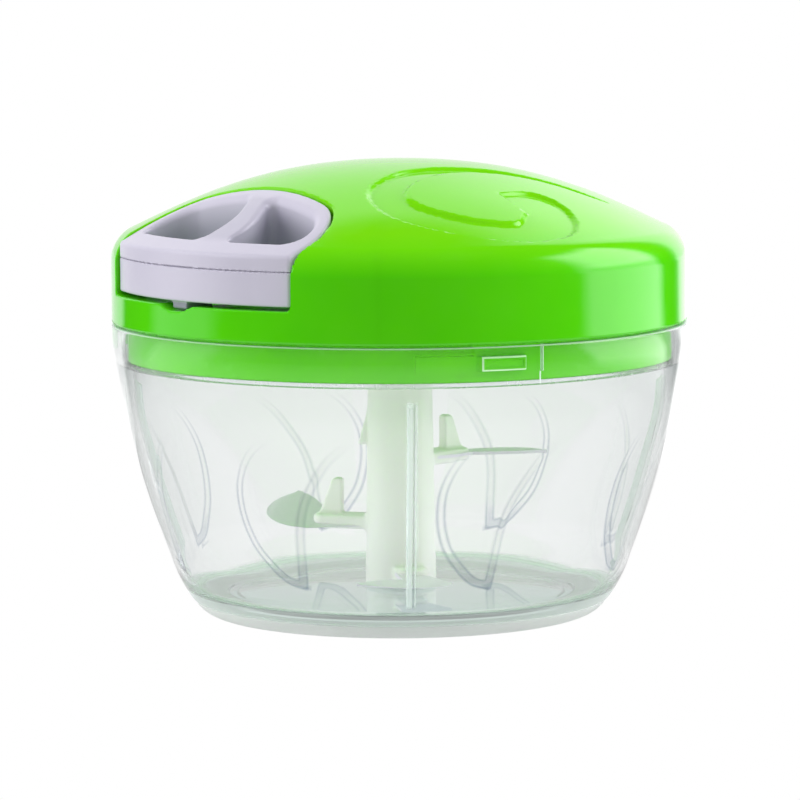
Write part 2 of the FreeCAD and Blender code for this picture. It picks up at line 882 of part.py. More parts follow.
def make_winding():
    """The wound cord, as a ring whose outer face shows each turn."""
    inner = core_radius + winding_fit
    runs = [((inner, winding_bottom), (winding_radius, winding_bottom))]
    for turn in range(winding_turns):
        low = winding_bottom + turn * winding_pitch
        high = low + 2 * cord_radius
        tip = (winding_radius + cord_radius, (low + high) / 2)
        runs.append(((winding_radius, low), tip, (winding_radius, high)))
        if turn < winding_turns - 1:
            runs.append(((winding_radius, high), (winding_radius, low + winding_pitch)))
    runs.append(((winding_radius, winding_top), (inner, winding_top)))
    runs.append(((inner, winding_top), (inner, winding_bottom)))
    return spin(section(*runs))


def make_cord_feed():
    """The cord between the drum and the eyelet, on the drum's tangent."""
    eye_y = -(bay_inner - bay_wall - cord_turn_in)
    swing = math.asin(winding_radius / abs(eye_y))
    start_reach = math.sqrt((winding_radius + 2 * cord_radius) ** 2 - winding_radius ** 2)
    way = (math.sin(swing), -math.cos(swing))
    total = math.sqrt(eye_y ** 2 - winding_radius ** 2)
    start = (-way[0] * (total - start_reach), eye_y - way[1] * (total - start_reach))
    cut = cord_bend * math.tan(swing / 2)
    arc_start = (-way[0] * cut, eye_y - way[1] * cut)
    arc_end = (0, eye_y - cut)
    middle = swing / 2
    arc_mid = (cord_bend * (math.cos(middle) - 1), eye_y - cut + cord_bend * math.sin(middle))
    edges = [
        Part.LineSegment(V(*start, cord_z), V(*arc_start, cord_z)).toShape(),
        Part.Arc(V(*arc_start, cord_z), V(*arc_mid, cord_z), V(*arc_end, cord_z)).toShape(),
    ]
    path = Part.Wire(edges)
    circle = Part.Wire(Part.makeCircle(cord_radius, V(*start, cord_z), V(way[0], way[1], 0)))
    return path.makePipeShell([circle], True, False), arc_end[1]


def make_hub():
    hub = tube(0, hub_radius, hub_bottom, hub_top)
    rim = [edge for edge in hub.Edges if edge.BoundBox.ZMax < hub_bottom + hub_chamfer]
    hub = hub.makeChamfer(hub_chamfer, rim)
    hub = hub.cut(rod(drum_boss, drum_boss_bottom, hub_top + over))
    hub = hub.cut(hexagon(socket_flats, hub_bottom - over, drum_boss_bottom - hub_web))
    return hub.cut(rod(hub_screw_radius + screw_clearance, hub_bottom, hub_top))


def hexagon(flats, low, high):
    corner = flats / math.sqrt(3)
    points = [polar(corner, 60 * k) for k in range(6)]
    return raised(polygon([(x, y, 0) for x, y in points]), low, high)


def make_hub_screw():
    length = hub_web + drum_boss_drop - 2 * over
    one = screw(hub_screw_radius, hub_screw_head, hub_screw_head_height, length)
    return placed(one, 0, 0, drum_boss_bottom - hub_web)


def divider():
    """The S-shaped bar between the two finger holes, in top view."""
    half = divider_width / 2
    line = [(x, -grip_inner - (grip_outer - grip_inner) * share) for x, share in divider_line]
    sides = []
    for shift in (-half, half):
        curve = Part.BSplineCurve()
        curve.interpolate([V(x + shift, y, 0) for x, y in line])
        sides.append(curve.toShape())
    ends = []
    for x, y in (line[0], line[-1]):
        ends.append(Part.LineSegment(V(x - half, y, 0), V(x + half, y, 0)).toShape())
    return Part.Wire([ends[0], sides[1], ends[1], sides[0]])


def finger_holes(low, high):
    room = raised(grip_outline(-grip_rim, grip_outer - grip_front_rim), low, high)
    holes = room.cut(raised(divider(), low - over, high + over))
    rounded = []
    for solid in holes.Solids:
        upright = []
        for edge in solid.Edges:
            ends = [v.Point for v in edge.Vertexes]
            if len(ends) == 2 and abs(ends[0].z - ends[1].z) > over:
                if edge_is_corner(solid, edge):
                    upright.append(edge)
        rounded.append(solid.makeFillet(hole_corner, upright))
    return rounded


def edge_is_corner(solid, edge):
    """True where the two faces that meet at an upright edge make a real corner."""
    faces = solid.ancestorsOfType(edge, Part.Face)
    point = edge.valueAt((edge.FirstParameter + edge.LastParameter) / 2)
    normals = []
    for face in faces:
        u, v = face.Surface.parameter(point)
        normals.append(face.normalAt(u, v))
    cosine = abs(normals[0].dot(normals[1]))
    return cosine < math.cos(math.radians(corner_turn))


def anchor_block():
    """The rib under the grip that holds the cord's end."""
    low = cord_z - cord_radius - anchor_wall
    corner = V(-anchor_width / 2, -anchor_front, low)
    return Part.makeBox(anchor_width, anchor_length, grip_low - low + over, corner)


def cord_room():
    """Bore for the cord, and a pocket that opens downwards for its knot."""
    bore = Part.makeCylinder(cord_radius + cord_gap, lead_end, V(0, -lead_end, cord_z), V(0, 1, 0))
    radius = knot_radius + knot_play
    length = 2 * knot_radius + knot_play
    start = V(0, -lead_end, cord_z)
    pocket = Part.makeCylinder(radius, length, start, V(0, -1, 0))
    mouth = Part.makeBox(2 * radius, length, 2 * radius, V(-radius, -lead_end - length, cord_z - 2 * radius))
    return bore.fuse(pocket).fuse(mouth)


def grip_screw_places():
    """Two screws in the grip's inner rim and two in its outer corners."""
    sagitta = grip_screw_spread ** 2 / (2 * grip_inner_bend)
    inner_y = -grip_inner - sagitta - grip_rim / 2
    outer_x = grip_half_width - grip_screw_inset
    outer_y = -math.sqrt((grip_outer - grip_front_rim / 2) ** 2 - outer_x ** 2)
    places = []
    for side in (-1, 1):
        places.append((side * grip_screw_spread, inner_y))
        places.append((side * outer_x, outer_y))
    return places


def make_grip_parts():
    low = grip_low
    split = low + grip_split
    high = lid_high
    wire = grip_outline(0, grip_outer)
    form = dome(grip_inset, grip_sunk, low, grip_edge)
    top = raised(wire, split, high).common(form)
    bottom = raised(wire, low, split)
    for hole in finger_holes(low - 5 * over, high + 5 * over):
        top = top.cut(hole)
        bottom = bottom.cut(hole)
    bottom = bottom.fuse(anchor_block()).cut(cord_room())
    seat = low + grip_screw_head_height + grip_screw_sink
    for x, y in grip_screw_places():
        bottom = bottom.cut(rod(grip_screw_radius + screw_clearance, low - over, split + over, x, y))
        bottom = bottom.cut(rod(grip_screw_head + screw_clearance, low - over, seat, x, y))
        high = seat + grip_screw_length + over
        top = top.cut(rod(grip_screw_radius + screw_fit, split - over, high, x, y))
    return top, bottom


def make_grip_screws():
    seat = grip_low + grip_screw_head_height + grip_screw_sink
    one = screw(grip_screw_radius, grip_screw_head, grip_screw_head_height, grip_screw_length)
    return Part.makeCompound([placed(one, x, y, seat) for x, y in grip_screw_places()])


def make_cord_lead(start_y):
    length = lead_end + start_y
    return Part.makeCylinder(cord_radius, length, V(0, start_y, cord_z), V(0, -1, 0))


def make_knot():
    """A round knot with a flat side that rests on the grip."""
    centre = V(0, -lead_end - knot_radius * knot_seat_share, cord_z)
    knot = Part.makeSphere(knot_radius, centre)
    side = 4 * knot_radius
    behind = Part.makeBox(side, side, side, V(-side / 2, -lead_end, cord_z - side / 2))
    return knot.cut(behind)


def flat(point):
    """A point of the blade's outline in its plane, with the cutting edge on +Y."""
    return point[0], -point[1], 0


def blade_sheet():
    """One sickle blade in its own frame, with X outward."""
    half = arm_width / 2
    root = post_top_radius + over
    wire = outline(
        (flat((root, -half)), flat(blade_back)),
        (flat(blade_back), flat(blade_belly), flat(blade_nose)),
        (flat(blade_nose), flat(blade_nose_arc), flat(blade_tip)),
        (flat(blade_tip), flat(blade_spine), flat(blade_heel)),
        (flat(blade_heel), flat((root, half))),
        (flat((root, half)), flat((root, -half))),
    )
    return raised(wire, -blade_thickness / 2, blade_thickness / 2)


def to_station(shape, number):
    """Turns a shape to its arm's direction and lifts it to its level."""
    copy = shape.copy()
    copy.rotate(V(0, 0, 0), UP, blade_angles[number])
    copy.translate(V(0, 0, blade_levels[number]))
    return copy


def make_blade(number):
    """One blade, tipped about its arm's axis and set in its place."""
    blade = blade_sheet()
    blade.rotate(V(0, 0, 0), V(1, 0, 0), -blade_pitches[number])
    return to_station(blade, number)


def make_arm(number):
    half = arm_width / 2
    thick = arm_thickness / 2
    reach = arm_reaches[number]
    box = Part.makeBox(reach, arm_width, arm_thickness, V(0, -half, -thick))
    ends = [e for e in box.Edges if e.BoundBox.XMin > reach / 2 and e.BoundBox.ZLength > thick]
    arm = box.makeFillet(arm_corner, ends)
    if blade_fins[number]:
        plate = polygon((
            (fin_inner, 0, -thick / 2),
            (fin_outer, 0, -thick / 2),
            (fin_inner + fin_top, 0, thick + fin_height),
            (fin_inner, 0, thick + fin_height),
        ))
        fin = Part.Face(plate).extrude(V(0, fin_thickness, 0))
        fin.translate(V(0, -fin_thickness / 2, 0))
        arm = arm.fuse(fin)
    return to_station(arm, number)


def make_post(blades):
    stub_top = drum_boss_bottom - hub_web - hub_screw_head_height - stub_gap
    post = lathe((
        (0, post_bottom),
        (post_base_radius, post_bottom),
        (post_top_radius, neck_z),
        (0, neck_z),
    ))
    post = post.fuse(hexagon(socket_flats - 2 * socket_play, neck_z - over, stub_top))
    for number in range(len(blade_levels)):
        post = post.fuse(make_arm(number))
    web = polygon((
        (post_top_radius - web_root, 0, web_level),
        (post_top_radius + web_reach, 0, web_level),
        (post_top_radius, 0, web_level + web_height),
        (post_top_radius - web_root, 0, web_level + web_height),
    ))
    web = Part.Face(web).extrude(V(0, fin_thickness, 0))
    web.translate(V(0, -fin_thickness / 2, 0))
    post = post.fuse(turned(web, web_angle))
    post = post.cut(rod(pin_radius + pin_bore_play, post_bottom - over, pin_top + pin_bore_top))
    for blade in blades:
        post = post.cut(blade)
    return post


def main():
    os.makedirs("parts", exist_ok=True)
    save("bowl", make_bowl())
    save("pivot_pin", make_pivot_pin())
    save("nonslip_foot", make_foot())
    save("seal_ring", make_seal())
    save("lid_cover", make_lid_cover())
    save("lid_base", make_lid_base())
    save("lid_screws", make_lid_screws())
    save("cord_eyelet", make_eyelet())
    save("drum_axle", make_axle())
    save("axle_screws", make_axle_screws())
    save("return_spring", make_spring())
    save("thrust_washer", make_washer())
    save("cord_drum", make_drum())
    save("spring_cover", make_spring_cover())
    save("spring_cover_screws", make_cover_screws())
    save("cord_winding", make_winding())
    feed, feed_end = make_cord_feed()
    save("cord_feed", feed)
    save("cord_lead", make_cord_lead(feed_end))
    save("cord_knot", make_knot())
    grip, grip_bottom = make_grip_parts()
    save("grip_top", grip)
    save("grip_bottom", grip_bottom)
    save("grip_screws", make_grip_screws())
    save("drive_hub", make_hub())
    save("hub_screw", make_hub_screw())
    blades = [make_blade(number) for number in range(len(blade_levels))]
    save("blade_post", make_post(blades))
    for name, blade in zip(blade_names, blades):
        save(name, blade)


main()
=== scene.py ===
import cmath
import math
from functools import partialmethod
import bpy
import numpy as np
from mathutils import Matrix, Vector


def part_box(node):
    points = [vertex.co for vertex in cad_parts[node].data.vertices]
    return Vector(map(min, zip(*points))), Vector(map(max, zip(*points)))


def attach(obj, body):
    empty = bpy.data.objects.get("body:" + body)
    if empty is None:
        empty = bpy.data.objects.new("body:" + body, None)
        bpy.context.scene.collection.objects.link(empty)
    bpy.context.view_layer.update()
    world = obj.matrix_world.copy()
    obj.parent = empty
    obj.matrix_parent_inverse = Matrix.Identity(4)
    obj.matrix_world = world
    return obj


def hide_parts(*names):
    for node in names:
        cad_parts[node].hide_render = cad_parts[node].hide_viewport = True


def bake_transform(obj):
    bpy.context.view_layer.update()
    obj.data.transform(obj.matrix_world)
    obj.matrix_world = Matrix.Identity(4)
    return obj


# Pull-string food chopper: clear bowl, green domed lid, lilac two-hole grip, milky post with three blades.
# All sizes are in millimetres here, and the meshes are written in metres.

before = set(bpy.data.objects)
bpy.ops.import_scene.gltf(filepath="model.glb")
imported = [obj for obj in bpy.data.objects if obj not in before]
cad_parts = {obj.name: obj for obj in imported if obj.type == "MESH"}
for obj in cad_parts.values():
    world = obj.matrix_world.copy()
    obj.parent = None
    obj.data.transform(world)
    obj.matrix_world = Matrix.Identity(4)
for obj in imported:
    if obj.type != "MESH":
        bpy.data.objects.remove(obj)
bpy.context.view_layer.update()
MM = 0.001

# Bowl
rim_radius = 62.5
bowl_height = 63.2
base_radius = 45.4
waist_radius = 50.2
waist_z = 12.8
wall = 2.2
wall_bulge = 1.25
corner_bulge = 0.5
floor_top = 5.4
floor_bottom = 3.2
floor_corner = 4.5
floor_corner_share = 0.34
straight_rim = 3.7
collar_wall = 2.9
collar_depth = 8.6
ledge_width = 2.2
ledge_slope = 7.0
pin_boss_radius = 5.0
pin_boss_height = 0.8
foot_rib_radius = 37.8
foot_rib_wall = 2.2
foot_rib_depth = 2.0

# Ribs, and leaf-shaped fields: their edge as (degrees, level) and their middle as (level, degrees)
rib_count = 4
rib_angle = -38.5
rib_half_width = 1.0
rib_depth = 1.6
rib_top = 50.8
leaf_count = 8
leaf_tip_angle = -19.0
leaf_before = 20.0
leaf_depth = 0.3
leaf_ramp = 1.7
leaf_top = 45.5
leaf_fade = 30.0
leaf_fade_run = 14.5
leaf_line = (
    (0.0, 11.0), (-5.2, 12.4), (-9.0, 15.5), (-12.7, 20.5), (-14.3, 27.5), (-13.4, 34.5), (-9.5, 41.0),
    (-2.5, 45.5), (7.0, 47.0), (14.5, 45.5), (12.4, 42.0), (8.6, 38.6), (5.2, 33.7), (2.6, 28.7), (1.3, 23.6),
    (0.7, 17.4),
)
leaf_middle = ((11.0, 0.2), (17.4, -4.9), (28.7, -5.9), (38.6, -1.4), (46.0, 6.0))

# Bands painted on the clear plastic, in millimetres: from, to, soft edge. The grey ones are painted shade
# lines, the milky ones painted highlights.
leaf_outer_line = (-0.15, 0.4, 0.2)
leaf_inner_line = (1.25, 1.75, 0.2)
leaf_between = (0.2, 1.5, 0.2)
leaf_ribbon = (0.3, 2.0, 0.25)
rib_groove = (0.3, 0.65, 0.12)
rib_stripe = (-1.1, 0.25, 0.15)
rib_edge = (0.7, 1.15, 0.15)
lock_line = (-0.17, 0.17, 0.06)

# How strongly those painted bands show, and where the base's painted pale band starts and is full
leaf_line_low = 0.9
leaf_line_high = 0.75
leaf_line_right_loss = 0.3
leaf_between_share = 0.6
leaf_ribbon_share = 0.12
rib_groove_share = 0.6
rib_stripe_share = 0.5
rib_edge_share = 0.35
lock_line_share = 0.7
base_share = 0.5
base_edge = (42.5, 44.5)

# How much rougher a hair scuff is
scuff_share = 0.06

# Twist lock
lug_count = 3
lug_angle = -20.0
lug_span = 9.4
lug_bottom = 2.4
lug_height = 3.0
lug_depth = 1.6
lug_border = 0.6
# Width of the painted highlight round each lug
lug_line = 0.34
lug_dish = 0.4
lock_turn = 13.0
lock_play = 0.35
entry_before = 1.8
entry_after = 3.3
channel_depth = 1.5

# Foot and seal
foot_lip = 0.25
foot_toe = 4.4
foot_bulge = 0.5
foot_bulge_share = 0.38
foot_fit = 0.15
seal_height = 1.0
seal_overhang = 0.7
seal_side_gap = 0.35

# Lid
lid_gap = 0.4
lid_inset = 0.1
lid_shoulder = 15.6
lid_height = 34.7
shoulder_radius = 4.0
dome_end_slope = 25.0
dome_shape = ((0.42, 0.153), (0.668, 0.43), (0.842, 0.71))
lid_wall = 2.2
lid_edge = 0.5
skirt_gap = 0.7
skirt_wall = 2.0
plate_thickness = 2.0
plate_fit = 0.2
post_circle = 48.0
post_outer = 3.6
post_angles = (30, 90, 150, 210, 330)
axle_boss = 9.0
axle_boss_bottom = 83.6
drum_hole = 9.0

# Bay for the grip
bay_floor = 6.9
bay_floor_wall = 2.0
bay_wall = 2.0
bay_play = 0.5
bay_lip = 0.25
bay_corner = 1.0
groove_half_width = 5.2
groove_floor = 69.3
groove_flare = 1.4
eyelet_bore = 2.0
bay_open = 9.0
lid_fillet = 0.5

# Grip
grip_half_width = 28.4
grip_inner = 34.5
grip_corner = 10.3
grip_inner_bend = 95.0
grip_inset = 0.7
grip_lift = 0.8
grip_split = 7.2
grip_rim = 3.9
grip_front_rim = 5.0
grip_sunk = 0.05
grip_edge = 0.8
hole_edge = 0.6
hole_edge_inner = 1.7
hole_corner = 2.4
split_groove = 0.02
divider_width = 7.0
divider_line = ((0.7, 0.02), (1.3, 0.24), (5.0, 0.48), (5.8, 0.68), (4.9, 0.94))
anchor_width = 4.6
anchor_length = 7.0
anchor_low = 69.6
anchor_setback = 1.0
grip_screw_spread = 12.0
grip_screw_inset = 3.0
grip_screw_bore = 1.5
grip_screw_sink = 1.3
# Strength of the painted shade on the finger holes' walls and on the bar between them
hole_shade = 0.55
bar_shade = 0.25

# Cord
cord_radius = 0.8
cord_level = 7.5
winding_radius = 21.0
winding_turns = 6
cord_share = 0.97
cord_strands = 3
cord_twist = 5.0
strand_depth = 0.1
cord_turn_in = 2.4
cord_bend = 4.0

# Blade assembly
post_base_radius = 7.7
post_top_radius = 7.0
post_bottom = 6.2
post_top = 51.0
post_edge = 0.4
socket_flats = 9.2
stub_top = 59.3
pin_bore = 2.08
pin_bore_top = 18.1
blade_thickness = 0.8
blade_levels = (9.0, 19.1, 32.6)
blade_angles = (-26.0, -146.0, 94.0)
blade_pitches = (4.0, 12.0, 3.0)
blade_names = ("lower_blade", "middle_blade", "upper_blade")
blade_fins = (False, True, True)
blade_root = 8.0
blade_back = (19.5, 5.9)
blade_belly = (29.4, 0.6)
blade_nose = (32.1, -6.0)
blade_nose_arc = (31.4, -12.2)
blade_tip = (28.2, -17.3)
blade_spine = (22.7, -12.2)
blade_heel = (18.4, -4.6)
blade_bevel = 2.4
blade_edge_share = 0.12
blade_bevel_rows = (0.0, 0.33, 0.66, 1.0)
blade_stations = 64
arm_width = 7.0
arm_thickness = 3.0
arm_reaches = (12.0, 19.4, 19.4)
arm_corner = 2.6
arm_edge = 0.7
fin_inner = 13.0
fin_outer = 19.1
fin_top = 2.2
fin_height = 7.9
fin_thickness = 2.4
web_root = 2.0
web_reach = 2.2
web_height = 8.0
web_level = 36.4
web_angle = -131.0
web_edge = 0.5
join_fillet = 0.9

# Spiral sunk into the dome, as two edges in top view
relief_depth = 0.85
relief_lip = 1.1
relief_outer = (
    (36.6, -3.8), (37.6, 4.6), (43.0, 7.6), (51.5, 4.3), (56.0, -3.5), (54.6, -15.0), (46.0, -25.6),
    (33.5, -31.2), (21.5, -27.0), (15.6, -12.0), (19.0, 4.0), (27.5, 16.5), (37.5, 26.5),
)
relief_inner = (
    (35.4, 22.4), (27.8, 13.0), (22.8, 2.0), (21.6, -10.0), (26.0, -20.6), (33.6, -23.9),
    (43.5, -19.2), (48.8, -10.6), (45.6, -4.4),
)

lid_steps = (1.6, 0.72)
grip_steps = (1.2, 0.42)
post_steps = (1.2, 0.5)
net_rounds = 2

# Levels that follow
taper_z = bowl_height - straight_rim
ledge_z = bowl_height - collar_depth
collar_inner = rim_radius - collar_wall
skirt_outer = collar_inner - skirt_gap
skirt_inner = skirt_outer - skirt_wall
skirt_bottom = ledge_z + seal_height
lid_bottom = bowl_height + lid_gap
lid_radius = rim_radius - lid_inset
lid_top = lid_bottom + lid_height
plate_top = lid_bottom + plate_thickness
bay_floor_z = lid_bottom + bay_floor
cord_z = lid_bottom + cord_level
grip_outer = lid_radius - grip_inset
grip_low = bay_floor_z + grip_lift
split_z = grip_low + grip_split
bend_y = -(grip_inner + grip_inner_bend)
wall_lean = math.atan2(rim_radius - waist_radius, taper_z - waist_z)
lug_low = skirt_bottom + lug_bottom
bay_end = lid_radius + bay_open

# Camera and studio
camera_azimuth = 49.0
camera_distance = 1000.0
camera_height = 157.4
camera_aim = 45.8
camera_lens = 208.0
camera_roll = -0.33
sensor_width = 36.0
room_level = 0.6
room_dark = 0.02
room_inner = 1.5
room_front = 0.4
floor_half = 6.0
floor_drop = 0.0002
floor_glow = 0.85
floor_gloss = 0.75
# Colour of the painted shadow on the floor under the bowl
floor_shade = (0.62, 0.74, 0.7)
light_aim = 0.05

# Lamps: name, turn from the camera's side to the right, height in degrees, distance, width, height, radiance
softboxes = (
    ("softbox_right", 95, 22, 1.2, 1.2, 1.1, 3.0),
    ("softbox_left", -95, 22, 1.2, 1.0, 1.1, 3.0),
    ("softbox_top", 10, 76, 1.3, 0.9, 0.7, 2.0),
)

# Reflected panels: turn from behind the object to the right (low, high), height (low, high), soft edge, level
studio_panels = (
    (-41, 36, -14, 50, 2.5, 1.1),
    (8, 36, -14, 42, 6, 0.8),
    (56, 104, -14, 48, 3, 2.4),
    (58, 98, 10, 48, 4, 2.8),
    (-104, -70, -14, 40, 4, 1.0),
)


# Distance fields: negative inside, all in millimetres

def both(a, b, fillet=0.0):
    """What two forms share, with a rounded edge where they meet."""
    if np.ndim(fillet) == 0 and fillet == 0:
        return np.maximum(a, b)
    inner = np.minimum(-fillet, np.maximum(a, b))
    return inner + np.hypot(np.maximum(a + fillet, 0), np.maximum(b + fillet, 0))


def either(a, b, fillet=0.0):
    return -both(-a, -b, fillet)


def without(a, b, fillet=0.0):
    return both(a, -b, fillet)


def between(value, low, high, fillet=0.0):
    return both(low - value, value - high, fillet)


def smooth(value):
    """0 below 0, 1 above 1 and a soft rise between."""
    t = np.clip(value, 0, 1)
    return t * t * (3 - 2 * t)


def turned(x, y, angle):
    """The same point seen from a frame that is turned about Z."""
    c = math.cos(math.radians(angle))
    s = math.sin(math.radians(angle))
    return x * c + y * s, y * c - x * s


def gradient(field, points, reach=0.02):
    columns = []
    for axis in range(3):
        shift = np.zeros(3)
        shift[axis] = reach
        ahead = field(*(points + shift).T)
        behind = field(*(points - shift).T)
        columns.append((ahead - behind) / (2 * reach))
    return np.stack(columns, 1)


def project(field, points, limit, rounds=4):
    """Moves points onto the form's surface."""
    for _ in range(rounds):
        slope = gradient(field, points)
        steep = np.maximum((slope ** 2).sum(1), 1e-4)
        move = slope * (field(*points.T) / steep)[:, None]
        length = np.sqrt((move ** 2).sum(1))
        points = points - move * np.minimum(1, limit / np.maximum(length, 1e-9))[:, None]
    return points


def relaxed(points, quads):
    """Each point half way to the middle of its neighbours."""
    total = np.zeros_like(points)
    count = np.zeros(len(points))
    for side in range(4):
        a = quads[:, side]
        b = quads[:, (side + 1) % 4]
        for one, other in ((a, b), (b, a)):
            for axis in range(3):
                total[:, axis] += np.bincount(one, points[other, axis], len(points))
            count += np.bincount(one, minlength=len(points))
    return (points + total / count[:, None]) / 2


def curve_points(points, per_piece=12):
    """A smooth line through points."""
    p = np.array(points, float)
    p = np.concatenate([[2 * p[0] - p[1]], p, [2 * p[-1] - p[-2]]])
    made = []
    for k in range(1, len(p) - 2):
        for t in np.arange(per_piece) / per_piece:
            a, b, c, d = p[k - 1], p[k], p[k + 1], p[k + 2]
            made.append(0.5 * (2 * b + (c - a) * t + (2 * a - 5 * b + 4 * c - d) * t ** 2
                               + (3 * b - a - 3 * c + d) * t ** 3))
    made.append(p[-2])
    return np.array(made)


class PlanField:
    """Signed distance to a closed line in top view, kept on a grid."""

    def __init__(self, line, step, margin):
        self.step = step
        self.low = line.min(0) - margin
        sizes = np.ceil((line.max(0) + margin - self.low) / step).astype(int) + 1
        x = self.low[0] + np.arange(sizes[0])[:, None] * step
        y = self.low[1] + np.arange(sizes[1])[None, :] * step
        nearest = np.full((sizes[0], sizes[1]), 1e9)
        inside = np.zeros((sizes[0], sizes[1]), bool)
        for a, b in zip(line, np.roll(line, -1, 0)):
            way = b - a
            share = np.clip(((x - a[0]) * way[0] + (y - a[1]) * way[1]) / max(way @ way, 1e-9), 0, 1)
            gap = (x - a[0] - share * way[0]) ** 2 + (y - a[1] - share * way[1]) ** 2
            nearest = np.minimum(nearest, gap)
            crossed = (a[1] > y) != (b[1] > y)
            if b[1] != a[1]:
                inside ^= crossed & (x < a[0] + (y - a[1]) * way[0] / way[1])
        self.values = np.where(inside, -1, 1) * np.sqrt(nearest)

    def __call__(self, x, y):
        u = np.clip((x - self.low[0]) / self.step, 0, self.values.shape[0] - 1.001)
        v = np.clip((y - self.low[1]) / self.step, 0, self.values.shape[1] - 1.001)
        u, v = np.broadcast_arrays(u, v)
        i, j = u.astype(int), v.astype(int)
        s, t = u - i, v - j
        low = self.values[i, j] * (1 - s) + self.values[i + 1, j] * s
        high = self.values[i, j + 1] * (1 - s) + self.values[i + 1, j + 1] * s
        return low * (1 - t) + high * t


def net_points(values, inside):
    """A point in each grid cell that the surface crosses, and the points' numbers by cell."""
    cells = [size - 1 for size in values.shape]
    corners = [(i, j, k) for i in (0, 1) for j in (0, 1) for k in (0, 1)]

    def corner_of(array, corner):
        i, j, k = corner
        return array[i:i + cells[0], j:j + cells[1], k:k + cells[2]]

    full = sum(corner_of(inside, corner).astype(np.int8) for corner in corners)
    mixed = (full > 0) & (full < 8)
    place = np.argwhere(mixed)
    found = [corner_of(values, corner)[mixed] for corner in corners]
    total = np.zeros((len(place), 3))
    hits = np.zeros(len(place))
    for a in range(8):
        for b in range(a + 1, 8):
            way = np.subtract(corners[b], corners[a])
            if np.abs(way).sum() != 1:
                continue
            crossed = (found[a] < 0) != (found[b] < 0)
            share = found[a][crossed] / (found[a][crossed] - found[b][crossed])
            total[crossed] += np.array(corners[a]) + share[:, None] * way
            hits[crossed] += 1
    index = np.full(cells, -1)
    index[mixed] = np.arange(len(place))
    return place + total / hits[:, None], index


def net_quads(inside, index):
    """A face across each grid step that the surface crosses."""
    quads = []
    for axis in range(3):
        side, up = (axis + 1) % 3, (axis + 2) % 3
        lower = np.take(inside, range(inside.shape[axis] - 1), axis)
        upper = np.take(inside, range(1, inside.shape[axis]), axis)
        edges = np.argwhere(lower != upper)
        kept = (edges[:, side] > 0) & (edges[:, side] < index.shape[side])
        kept &= (edges[:, up] > 0) & (edges[:, up] < index.shape[up])
        edges = edges[kept]
        ring = []
        for one, two in ((-1, -1), (0, -1), (0, 0), (-1, 0)):
            cell = edges.copy()
            cell[:, side] += one
            cell[:, up] += two
            ring.append(index[tuple(cell.T)])
        ring = np.stack(ring, 1)
        outward = lower[tuple(edges.T)]
        ring[~outward] = ring[~outward][:, ::-1]
        quads.append(ring)
    return np.concatenate(quads)


def net_of(field, low, high, step):
    """A quad mesh of the surface where the field is zero."""
    axes = [np.arange(lo - 1.5 * step, hi + 2 * step, step) for lo, hi in zip(low, high)]
    values = field(*np.meshgrid(*axes, indexing="ij", sparse=True))
    values = np.broadcast_to(values, [len(axis) for axis in axes])
    inside = values < 0
    points, index = net_points(values, inside)
    quads = net_quads(inside, index)
    points = project(field, points * step + np.array([axis[0] for axis in axes]), step / 2)
    for _ in range(net_rounds):
        points = project(field, relaxed(points, quads), step / 2, 2)
    normals = gradient(field, points)
    normals /= np.maximum(np.sqrt((normals ** 2).sum(1)), 1e-9)[:, None]
    return points, quads, normals


# Meshes

def placed(name, data):
    """A new object in the scene."""
    thing = bpy.data.objects.new(name, data)
    bpy.context.scene.collection.objects.link(thing)
    return thing


def piece(name, points, faces, normals=None, crease=35.0):
    """A new object from points in millimetres, with smooth shading."""
    mesh = bpy.data.meshes.new(name)
    mesh.from_pydata((np.asarray(points) * MM).tolist(), [], [list(face) for face in faces])
    mesh.update()
    mesh.shade_smooth()
    if normals is not None:
        mesh.normals_split_custom_set_from_vertices(np.asarray(normals).tolist())
    else:
        mesh.set_sharp_from_angle(angle=math.radians(crease))
    return placed(name, mesh)


def netted(name, field, low, high, steps):
    """A piece whose surface is where the field is zero."""
    quick_step, full_step = steps
    return piece(name, *net_of(field, low, high, full_step))


def places_of(thing):
    """The object's points in millimetres, as rows of x, y and z."""
    return np.array([tuple(vertex.co) for vertex in thing.data.vertices]).T / MM


def keep_tone(thing, name, values):
    """Keeps a value at each point for the material."""
    tone = thing.data.attributes.new(name, "FLOAT", "POINT")
    tone.data.foreach_set("value", values.astype(np.float32))


def arc(a, middle, b, count):
    """Points on the circle through three points."""
    p, q, r = complex(*a), complex(*middle), complex(*b)
    w = (r - p) / (q - p)
    centre = p + (q - p) * (w - abs(w) ** 2) / (2j * w.imag)
    start, mid, end = (cmath.phase(point - centre) for point in (p, q, r))
    full = 2 * math.pi
    span = (end - start) % full
    if (mid - start) % full >= span:
        span -= full
    made = [centre + cmath.rect(abs(p - centre), start + span * k / count) for k in range(count + 1)]
    return [(point.real, point.imag) for point in made]


def bent(start, corner, end, count):
    """Points on a soft curve whose ends head for the corner."""
    t = np.linspace(0, 1, count + 1)[:, None]
    return (1 - t) ** 2 * start + 2 * t * (1 - t) * corner + t * t * end


def length_along(line):
    """The length from a line's start to each of its points."""
    return np.concatenate([[0], np.cumsum(np.linalg.norm(np.diff(line, axis=0), axis=1))])


def along(line, count):
    """Points evenly spread along a line."""
    line = np.array(line)
    gone = length_along(line)
    at = np.linspace(0, gone[-1], count)
    return np.stack([np.interp(at, gone, line[:, k]) for k in range(2)], 1)


def midway(a, b, bulge):
    """The middle of two points, pushed to the side."""
    dx, dz = b[0] - a[0], b[1] - a[1]
    length = math.hypot(dx, dz)
    return (a[0] + b[0]) / 2 + bulge * dz / length, (a[1] + b[1]) / 2 - bulge * dx / length


def sharp(points):
    """Points as corners that stay sharp."""
    return [(*point, 0) for point in points]


